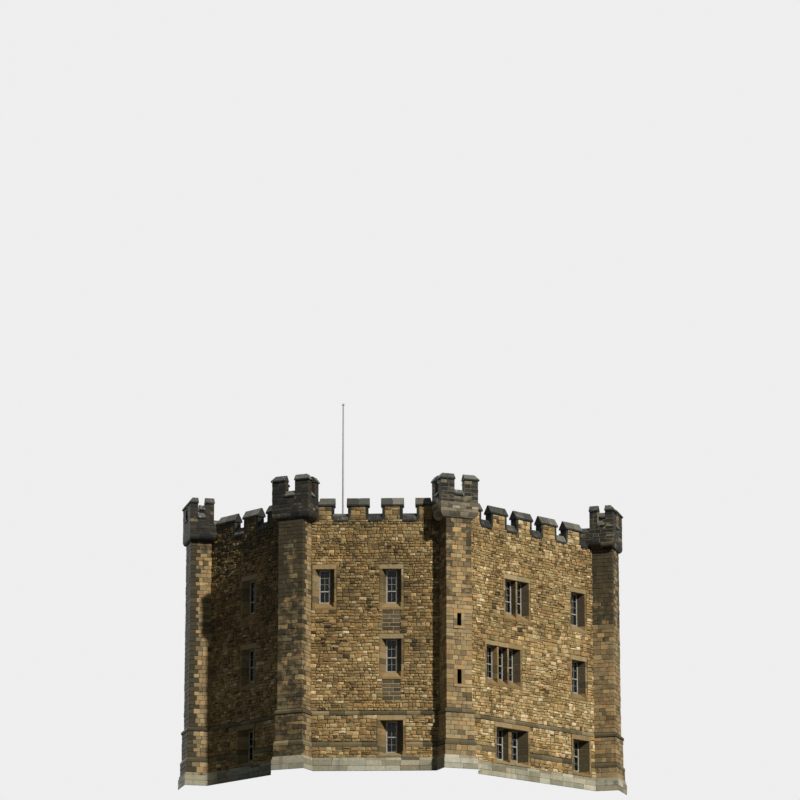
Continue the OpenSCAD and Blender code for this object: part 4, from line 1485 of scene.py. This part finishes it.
def lay_courses():
    """The sloped ledge and string courses."""
    stones = Stones(600)
    ledge_out = reach_out("projecting_courses", LEDGE_Z - NEAR, STRING_Z - NEAR)
    string_out = reach_out("projecting_courses", STRING_Z - NEAR)
    for kind, low, face, top, g, out, long, skipped in (
        ("ledge", LEDGE_Z, LEDGE_FACE, LEDGE_TOP_Z, MID_OUT, ledge_out, LEDGE_LONG,
         ground_window_rims),
        ("string", STRING_Z, STRING_FACE, STRING_TOP_Z, 0.0, string_out, STRING_LONG, None),
    ):
        lay_ring(stones, [(g - RING_TAIL, low), (out, low), (out, low + face), (g, top),
                          (g - RING_TAIL, top)], long, FINE_GAP, kind, skipped)
    stones.piece("projecting_course_stones", "course", "course_stone", bevel=0.012,
                 replaced=["projecting_courses"])


def lay_plinth():
    """Two courses of long pale blocks and a thinner course set back on them."""
    stones = Stones(700)
    heights = sorted({round(v.co.z, 4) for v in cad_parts["base_plinth"].data.vertices})
    low_top, top_foot = heights[1], heights[2]
    inner = LOW_OUT - RING_TAIL
    for low, high, g in (
        (0.0, low_top / 2 - FINE_GAP, PLINTH_OUT), (low_top / 2 + FINE_GAP, low_top, PLINTH_OUT),
        (top_foot, PLINTH_Z, reach_out("base_plinth", top_foot)),
    ):
        lay_ring(stones, [(inner, low), (g, low), (g, high), (inner, high)],
                 PLINTH_LONG, PLINTH_GAP, "plinth")
    stones.piece("base_plinth_blocks", "ashlar", "pale_ashlar", replaced=["base_plinth"])


# Windows

# How far the surrounds stand out, how worn their inner arrises are, and half of a joint
SURROUND_PROUD = 0.018
ARRIS_WEAR = 0.04
DRESSED_GAP = 0.003
# Sills and heads meet the sash's edges within this, and no jamb starts so near its top.
SASH_LAP = 0.02
HEAD_ROOM = 0.5
JAMB_TALL = (0.26, 0.44)
SLIT_TALL = (0.3, 0.45)
SILL_TONE = 0.6
# Soot on the splayed sides of the stones left and right of a window's middle. The heavy amount on the
# right is painted shade, as that side is turned from the sun.
SPLAY_SOOT_AND_SHADE = (0.1, 0.8)
SLIT_SILL_PROUD = 0.03
SLIT_FRAME_DEEP = 0.14


def plan_ring(solid, place, window):
    """Plan corners of an upright solid in order, its front brought out and its arris worn."""
    foot = min(c.z for c in solid.corners)
    flat = [place.local(c) for c in solid.corners if c.z < foot + NEAR]
    front = min(p.y for p in flat) + NEAR
    middle = sum((p.to_2d() for p in flat), Vector((0, 0))) / len(flat)
    flat.sort(key=lambda p: math.atan2(p.y - middle.y, p.x - middle.x))
    side = middle.x - window.middle
    ring = []
    for p in flat:
        x, y = p.x, p.y
        if y < front:
            y -= SURROUND_PROUD
            inner = min if side > 0 else max
            edge = inner(q.x for q in flat if q.y < front)
            if window.beside(middle.x) and abs(x - edge) < NEAR:
                x += math.copysign(ARRIS_WEAR, side)
        ring.append((x, y))
    return ring


def lay_upright(stones, window, solid):
    """A jamb or mullion as a stack of stones."""
    place = window.place
    low, high = solid.span(place, Z)
    ring = plan_ring(solid, place, window)
    right = place.local(solid.middle).x > window.middle - 0.1
    for z0, z1 in courses(stones.random, low, high, JAMB_TALL):
        stones.between([place.point(x, y, z0 + DRESSED_GAP) for x, y in ring],
                       [place.point(x, y, z1 - DRESSED_GAP) for x, y in ring],
                       stones.vary(*TONES["jamb"]), SOOTS["jamb"])
        # Splayed sides get soot; on the window's right it is mostly painted shade.
        stones.darken(lambda normal: abs(normal.dot(place.along)) > 0.3
                      and abs(normal.z) < 0.1, SPLAY_SOOT_AND_SHADE[right])


def lay_surround(stones, window):
    """The sill, the uprights and the lintel of a window, parted over its mullions."""
    place = window.place
    mullions = []
    for solid in window.stones:
        low, high = solid.span(place, Z)
        x = place.local(solid.middle).x
        if high < window.z[0] + SASH_LAP:
            stones.add(solid.corners, solid.faces, stones.vary(*TONES["sill"]), SOOTS["sill"])
        elif low < window.z[1] - HEAD_ROOM:
            lay_upright(stones, window, solid)
            if not window.beside(x):
                mullions.append(x)
    head = next(s for s in window.stones if s.span(place, Z)[0] > window.z[1] - SASH_LAP)
    xs, ys, zs = (head.span(place, axis) for axis in (X, Y, Z))
    marks = [xs[0], *sorted(mullions), xs[1]]
    for a, b in pairwise(marks):
        stones.block(place, (a + DRESSED_GAP, b - DRESSED_GAP), (ys[0] - SURROUND_PROUD, ys[1]),
                     zs, stones.vary(*TONES["lintel"]), SOOTS["lintel"])


def lay_slit_frames():
    """Sill, jambs and lintel of dressed stone round each slit window."""
    stones = Stones(850)
    place = CORNER_PLACES[SLIT_CORNER]
    front, back = -BUTTRESS_OUT - 2 * SURROUND_PROUD, -BUTTRESS_OUT + SLIT_FRAME_DEEP
    outer = SLIT_HALF + SLIT_JAMB
    gap = DRESSED_GAP
    for low, high in SLITS:
        for z0, z1, proud in ((low - SLIT_SILL, low, SLIT_SILL_PROUD),
                              (high, high + SLIT_LINTEL, 0.0)):
            stones.block(place, (-outer, outer), (front - proud, back), (z0 + gap, z1 - gap),
                         SILL_TONE)
        for side in (-1, 1):
            for z0, z1 in courses(stones.random, low, high, SLIT_TALL):
                stones.block(place, sorted((side * SLIT_HALF, side * outer)), (front, back),
                             (z0 + gap, z1 - gap), stones.vary(*TONES["slit_jamb"]),
                             SOOTS["slit_jamb"])
    stones.piece("slit_frame_stones", "buttress", "dressed_stone", bevel=0.009)


def lay_surrounds():
    """The surrounds of all windows, as one piece."""
    stones = Stones(800)
    for window in WINDOWS:
        lay_surround(stones, window)
    stones.piece("window_surround_stones", "dressed", "dressed_stone", bevel=0.009,
                 replaced=["window_surrounds"])


INFILL_TALLS = (0.2, 0.25)
# Where the joint of an infill course lies, by turns
INFILL_CUTS = (0.6, 0.38)
# Half of the joints along the wall and up it, and how far blocks and joints stand out
INFILL_GAP_X, INFILL_GAP_Z = 0.014, 0.018
INFILL_PROUD = 0.016
INFILL_BED_PROUD = 0.004
INFILL_BED_TONE = 0.9
INFILL_BACK = 0.1


def lay_infills():
    """Squared blocks in the two old openings of the front, in pale joints."""
    blocks, beds = Stones(900), Stones(910)
    place = FACE_PLACES[0]
    for x0, x1, low, high in infill_rims():
        beds.block(place, (x0, x1), (-INFILL_BED_PROUD, INFILL_BACK), (low, high),
                   INFILL_BED_TONE)
        for n, (z0, z1) in enumerate(courses(blocks.random, low, high, INFILL_TALLS)):
            cut = x0 + (x1 - x0) * INFILL_CUTS[n % 2]
            for a, b in ((x0, cut), (cut, x1)):
                blocks.block(place, (a + INFILL_GAP_X, b - INFILL_GAP_X),
                             (-INFILL_PROUD, INFILL_BACK),
                             (z0 + INFILL_GAP_Z, z1 - INFILL_GAP_Z), None, SOOTS["infill"],
                             jitter=0.005)
    beds.piece("front_infill_beds", "dressed", "rubble_stone", bevel=0)
    blocks.piece("front_infill_blocks", "infill", "rubble_stone")


# Width and depth of a glazing bar, and the height of a pane
BAR_W = 0.018
BAR_D = 0.034
PANE_TALL = 0.38
BAR_TONE = 0.5
# How far in front of the glass's middle the bars have theirs
BAR_FORWARD = 0.006


def lay_glazing_bars():
    """An upright bar in each light, and cross bars that part each sash into panes."""
    bars = Stones(1000)
    for window in WINDOWS:
        heights = sorted({round(c.z, 3) for c in window.sash.corners})
        foot, rail_low, rail_high, head = heights[1:5]
        for light in window.lights:
            xs, ys = (light.span(window.place, axis) for axis in (X, Y))
            middle, depth = sum(xs) / 2, sum(ys) / 2 - BAR_FORWARD
            span_y = (depth - BAR_D / 2, depth + BAR_D / 2)
            for low, high in ((foot, rail_low), (rail_high, head)):
                bars.block(window.place, (middle - BAR_W / 2, middle + BAR_W / 2), span_y,
                           (low, high), BAR_TONE)
                rows = max(1, round((high - low) / PANE_TALL))
                for n in range(1, rows):
                    z = low + (high - low) * n / rows
                    bars.block(window.place, xs, span_y, (z - BAR_W / 2, z + BAR_W / 2),
                               BAR_TONE)
    bars.piece("window_glazing_bars", "paint", "window_paint", bevel=0.004)


# Copings and roof

COPING_LONG = 0.95
# Soot of the copings on the merlons, in the gaps, and on the turrets, and its spread
MERLON_COPING_SOOT, GAP_COPING_SOOT, TURRET_COPING_SOOT = 0.2, 0.6, 0.3
COPING_SOOT_SPREAD = 0.15
# Soot and painted shade on the upright sides of the copings of the parapets and of the turrets
COPING_EDGE_SOOT_AND_SHADE = 0.7
TURRET_EDGE_SOOT_AND_SHADE = 0.6
# A face of a coping counts as upright where its direction rises less than this.
UPRIGHT_TILT = 0.3


def lengths(solid, place):
    """A long coping cut into stones along its face."""
    low, high = solid.span(place, X)
    count = max(1, math.ceil((high - low) / COPING_LONG))
    for n in range(count):
        bm = bmesh.new()
        verts = [bm.verts.new(c) for c in solid.corners]
        for face in solid.faces:
            bm.faces.new([verts[v] for v in face])
        for edge, inward in ((n, 1), (n + 1, -1)):
            if 0 < edge < count:
                x = low + (high - low) * edge / count + inward * FINE_GAP
                cut = bmesh.ops.bisect_plane(
                    bm, geom=bm.verts[:] + bm.edges[:] + bm.faces[:],
                    plane_co=place.point(x, 0, 0), plane_no=place.along * -inward,
                    clear_outer=True)
                rim = [e for e in cut["geom_cut"] if isinstance(e, bmesh.types.BMEdge)]
                bmesh.ops.edgeloop_fill(bm, edges=rim)
        bm.verts.index_update()
        yield [v.co.copy() for v in bm.verts], [[v.index for v in f.verts] for f in bm.faces]
        bm.free()


def lay_parapet_copings():
    """Coping stones of the merlons and, sootier, of the gaps."""
    stones = Stones(1100)
    for solid in PARAPET_COPINGS:
        place = FACE_PLACES[face_near(solid.middle, PARAPET_T / 2)]
        for corners, faces in lengths(solid, place):
            low = min(c.z for c in corners) < MERLON_Z - GAP_DROP
            stones.add(corners, faces, stones.vary(*TONES["parapet_coping"]),
                       stones.vary(GAP_COPING_SOOT if low else MERLON_COPING_SOOT,
                                   COPING_SOOT_SPREAD))
            # Upright sides darker: soot and painted shade.
            stones.darken(lambda normal: abs(normal.z) < UPRIGHT_TILT, COPING_EDGE_SOOT_AND_SHADE)
    stones.piece("parapet_coping_stones", "coping", "coping_stone", bevel=0.012,
                 replaced=["parapet_copings"], cuts=2, wear=0.02)


def lay_turret_copings():
    """Coping stones of the turrets, each as its solid has it."""
    stones = Stones(1200)
    for solid in TURRET_COPINGS:
        stones.add(solid.corners, solid.faces, stones.vary(*TONES["turret_coping"]),
                   stones.vary(TURRET_COPING_SOOT, COPING_SOOT_SPREAD))
        # Upright sides darker: soot and painted shade.
        stones.darken(lambda normal: abs(normal.z) < UPRIGHT_TILT, TURRET_EDGE_SOOT_AND_SHADE)
    stones.piece("turret_coping_stones", "turret_coping", "coping_stone",
                 replaced=["turret_copings"], cuts=2, wear=0.016)


def clipped(ring, edges):
    """A flat ring of points cut to the inside of an outline that bulges everywhere."""
    for a, b in edges:
        kept = []
        for p, q in zip(ring, ring[1:] + ring[:1]):
            side_p, side_q = ((b - a).cross(v - a) for v in (p, q))
            if side_p >= 0:
                kept.append(p)
            if side_p * side_q < 0:
                kept.append(p + (q - p) * (side_p / (side_p - side_q)))
        ring = kept
        if len(ring) < 3:
            return []
    return ring


def area(ring):
    """The area of a flat ring of points, or 0 for an empty one."""
    return sum((p - ring[0]).cross(q - ring[0]) for p, q in zip(ring, ring[1:])) / 2


FLAG_SEED = 1300
FLAG_GAP = 0.006
LEAST_FLAG = 0.01
# Depth of the rows, and length of the flags, on the roof and on the turrets' floors
ROOF_FLAGS = ((0.5, 0.75), (0.6, 1.1))
TURRET_FLAGS = ((0.4, 0.6), (0.5, 0.8))
TURRET_FLOOR_GAP = 0.015


def lay_flags(cells, rng, ring, z, place, row, long):
    """Rows of flagstones over an outline, laid along a place."""
    edges = list(zip(ring, ring[1:] + ring[:1]))
    local = [place.local(Vector((p.x, p.y, 0))) for p in ring]
    y, end_y = min(p.y for p in local), max(p.y for p in local)
    low_x, high_x = min(p.x for p in local), max(p.x for p in local)
    while y < end_y:
        deep = rng.uniform(*row)
        x = low_x - rng.uniform(0, long[0])
        while x < high_x:
            wide = rng.uniform(*long)
            x0, x1, y0, y1 = x + FLAG_GAP, x + wide - FLAG_GAP, y + FLAG_GAP, y + deep - FLAG_GAP
            flag = clipped([place.point(a, b, 0).to_2d() for a, b in (
                (x0, y0), (x1, y0), (x1, y1), (x0, y1))], edges)
            if area(flag) > LEAST_FLAG:
                cells.add([Vector((p.x, p.y, z)) for p in flag],
                          limit(rng.gauss(*TONES["flag"])), limit(rng.gauss(0.1, 0.1)))
            x += wide
        y += deep


def lay_roof():
    """Stone flags on the roof and the wall walk, and on the turrets' floors."""
    rng = random.Random(FLAG_SEED)
    cells = Cells()
    roof = []
    for k in range(SIDES):
        back = turret_back(k)
        for x in (-TURRET_HALF, TURRET_HALF):
            roof.append(CORNER_PLACES[k].point(x, back, 0).to_2d())
    lay_flags(cells, rng, roof, WALK_Z, FACE_PLACES[0], *ROOF_FLAGS)
    inside = TURRET_HALF - TURRET_T - TURRET_FLOOR_GAP
    front = -TURRET_OUT + TURRET_T + TURRET_FLOOR_GAP
    for k in range(SIDES):
        back = turret_back(k)
        floor = [CORNER_PLACES[k].point(x, y, 0).to_2d() for x, y in (
            (-inside, front), (inside, front), (inside, back), (-inside, back))]
        lay_flags(cells, rng, floor, CORBEL_TOP_Z, CORNER_PLACES[k], *TURRET_FLAGS)
    cells.piece("roof_flags", "flags", "roof_paving", FLAG_SEED, relief=(0.004, 0.01),
                rough=0.003, shoulder=0.985, crown=0.002)


POLE_BLOCK_PROUD = 0.012


def lay_pole_block():
    """Dressed stones round the foot of the flagpole."""
    stones = Stones(1400)
    place = Place(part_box("flagpole")[0], Vector((1, 0, 0)))
    side = local_span("flagpole", place, X)[1]
    block_top = sorted({round(v.co.z, 3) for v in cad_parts["flagpole"].data.vertices})[1]
    middle = WALK_Z + (block_top - WALK_Z) / 2
    first, last = -POLE_BLOCK_PROUD, side + POLE_BLOCK_PROUD
    for turned, z0, z1 in ((False, WALK_Z, middle),
                           (True, middle, block_top + POLE_BLOCK_PROUD)):
        for a, b in ((first, side / 2), (side / 2, last)):
            xs, ys = (a, b - FINE_GAP), (first, last)
            if turned:
                xs, ys = ys, xs
            stones.block(place, xs, ys, (z0, z1 - FINE_GAP), None, SOOTS["pole_block"])
    stones.piece("flagpole_block_stones", "flags", "roof_paving", bevel=0.012)


for number in range(SIDES):
    lay_wall(number)
    lay_parapet(number)
    lay_buttress(number)
    lay_turret(number)
lay_corbels()
lay_courses()
lay_plinth()
lay_surrounds()
lay_slit_frames()
lay_infills()
lay_glazing_bars()
lay_cheeks()
lay_parapet_copings()
lay_turret_copings()
lay_roof()
lay_pole_block()


# Finishes of the CAD nodes that show between the stones or as they are

NODE_FINISHES = {
    "turret_corbels": "mortar", "roof_deck": "mortar", "flagpole": "pole",
    "window_sashes": "paint", "window_glass": "glass", "ground_floor": "ground_flags",
    "first_floor": "boards", "second_floor": "boards",
}
SMOKED_TURRETS = (CORNERS[0], CORNERS[7])


def finish_node(node, finish):
    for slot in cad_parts[node].material_slots:
        slot.material = finishes[finish]


for label in FACES:
    finish_node(label + "_wall", "mortar")
    finish_node(label + "_parapet", "mortar")
for label in CORNERS:
    finish_node(label + "_buttress", "mortar")
    finish_node(label + "_turret", "mortar" if label in SMOKED_TURRETS else "pale_mortar")
for label, finish_name in NODE_FINISHES.items():
    finish_node(label, finish_name)


# Stage, light and camera

BACKDROP = (0.86, 0.86, 0.86)
# The floor's colour in the picture, and in the light that it throws back
FLOOR_SEEN = (0.68, 0.68, 0.68)
FLOOR_LIT = (0.12, 0.12, 0.12)
FLOOR_HALF = 900.0
FLOOR_Z = -0.002
FOOTING_Z = -0.01
# The footing sheet keeps inside the plinth where it shows, and runs out past it behind.
FOOTING_INSIDE = -0.01
FOOTING_OUTSIDE = 2.0
SHOWN_CORNERS = (0, 1, 2, 7)
# Beside the two front buttresses the sheet ends where a line of sight past a corner meets
# the wall's foot: that corner, the foot and the wall's far end, as buttress and corner.
HIDDEN_FEET = (((0, 1), (0, 0), (7, 3)), ((1, 2), (1, 3), (2, 0)))
SIGHT = 20.0
# The camera's place from the keep's front left corner and the ground, its turn and its lens
CAMERA_RIGHT = 11.951
CAMERA_BACK = 208.035
CAMERA_HEIGHT = -32.707
CAMERA_RISE = 14.379
CAMERA_TURN = 1.739
CAMERA_LENS = 175.16
CAMERA_PLACE = Vector((OUTER[0].x + CAMERA_RIGHT, OUTER[0].y - CAMERA_BACK, CAMERA_HEIGHT))
# Energy, angle across, colour, azimuth and altitude of each lamp
LAMPS = {
    "sun": (4.2, 1.5, (1.0, 0.97, 0.92), 38.5, 39),
    "back_lamp": (2.0, 20.0, (1.0, 1.0, 1.0), 215, 30),
}
SKY_COLOUR = (0.62, 0.86, 1.04)
SKY_STRENGTH = 0.09


def floor_material():
    """A pale floor that the camera does not see from below."""
    f = Finish("stage_floor")
    colour = f.mix(f.rays("Is Camera Ray"), FLOOR_LIT, FLOOR_SEEN)
    pale = f.node("ShaderNodeBsdfDiffuse", {}, {"Color": colour})["BSDF"]
    clear = f.node("ShaderNodeBsdfTransparent", {}, {})["BSDF"]
    below = f.node("ShaderNodeNewGeometry", {}, {})["Backfacing"]
    mixed = f.node("ShaderNodeMixShader", {}, {0: below, 1: pale, 2: clear})["Shader"]
    f.node("ShaderNodeOutputMaterial", {}, {"Surface": mixed})
    return f.material


def footing_material():
    """Looks like the pale backdrop, and lights nothing."""
    f = Finish("stage_footing")
    glow = f.node("ShaderNodeEmission", {}, {
        "Color": (*BACKDROP, 1.0), "Strength": f.rays("Is Camera Ray")})["Emission"]
    f.node("ShaderNodeOutputMaterial", {}, {"Surface": glow})
    return f.material


def stage_sheet(name, outline, z, material):
    mesh = bpy.data.meshes.new(name)
    mesh.from_pydata([(p.x, p.y, z) for p in outline], [], [list(range(len(outline)))])
    mesh.materials.append(material)
    sheet = bpy.data.objects.new(name, mesh)
    bpy.context.scene.collection.objects.link(sheet)
    sheet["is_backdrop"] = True


def hidden_foot(corner, foot, far):
    """Point of a wall's foot where the camera's line of sight past a corner meets it."""
    beyond = corner + (corner - CAMERA_PLACE.to_2d()).normalized() * SIGHT
    return geometry.intersect_line_line_2d(corner, beyond, foot, far)


def make_stage():
    """A wide floor, and a sheet that hides what a low camera would see through the ground."""
    h = FLOOR_HALF
    square = [Vector(corner) for corner in ((-h, -h), (h, -h), (h, h), (-h, h))]
    stage_sheet("stage_floor", square, FLOOR_Z, floor_material())
    outline = {}
    for k in range(SIDES):
        margin = FOOTING_INSIDE if k in SHOWN_CORNERS else FOOTING_OUTSIDE
        for j in range(CORNER_SIDES):
            outline[k, j] = outline_point(k, j, PLINTH_OUT + margin)
    for keys in HIDDEN_FEET:
        outline[keys[1]] = hidden_foot(*(outline[key].to_2d() for key in keys))
    stage_sheet("stage_footing", list(outline.values()), FOOTING_Z, footing_material())


def add_lamp(name, energy, angle, colour, azimuth, altitude):
    """A lamp far off. Azimuth counts from the front to the right, in degrees."""
    data = bpy.data.lights.new(name, "SUN")
    data.energy = energy
    data.angle = math.radians(angle)
    data.color = colour
    lamp = bpy.data.objects.new(name, data)
    turn, rise = math.radians(azimuth), math.radians(altitude)
    towards = Vector((math.sin(turn) * math.cos(rise),
                      -math.cos(turn) * math.cos(rise), math.sin(rise)))
    lamp.rotation_mode = "QUATERNION"
    lamp.rotation_quaternion = towards.to_track_quat("Z", "Y")
    bpy.context.scene.collection.objects.link(lamp)


def make_light():
    """A sun to the right of the front, and a soft lamp behind the keep."""
    for name, settings in LAMPS.items():
        add_lamp(name, *settings)


def make_sky():
    """An even sky, which shows as a pale backdrop and shines so in paint and glass."""
    world = bpy.data.worlds.new("sky")
    bpy.context.scene.world = world
    sky = Shading(world)
    seen = sky.rays("Is Camera Ray", "Is Glossy Ray", "Is Transmission Ray")
    light, pale = (
        sky.node("ShaderNodeBackground", {}, {"Color": (*colour, 1.0), "Strength": strength})
        for colour, strength in ((SKY_COLOUR, SKY_STRENGTH), (BACKDROP, 1.0)))
    mixed = sky.node("ShaderNodeMixShader", {}, {
        0: seen, 1: light["Background"], 2: pale["Background"]})["Shader"]
    sky.node("ShaderNodeOutputWorld", {}, {"Surface": mixed})


def make_camera():
    """Far off and below the keep, looking up, as the photograph was taken."""
    data = bpy.data.cameras.new("camera")
    data.sensor_width = 36.0
    data.lens = CAMERA_LENS
    data.clip_end = 3000.0
    camera = bpy.data.objects.new("camera", data)
    camera.location = CAMERA_PLACE
    camera.rotation_euler = (math.radians(90 + CAMERA_RISE), 0, math.radians(CAMERA_TURN))
    bpy.context.scene.collection.objects.link(camera)
    bpy.context.scene.camera = camera


make_stage()
make_light()
make_sky()
make_camera()
bpy.context.scene.view_settings.view_transform = "Standard"

boxes = {"cad": cad_box, "visual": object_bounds()}
{key: [list(corner) for corner in box] for key, box in boxes.items()}
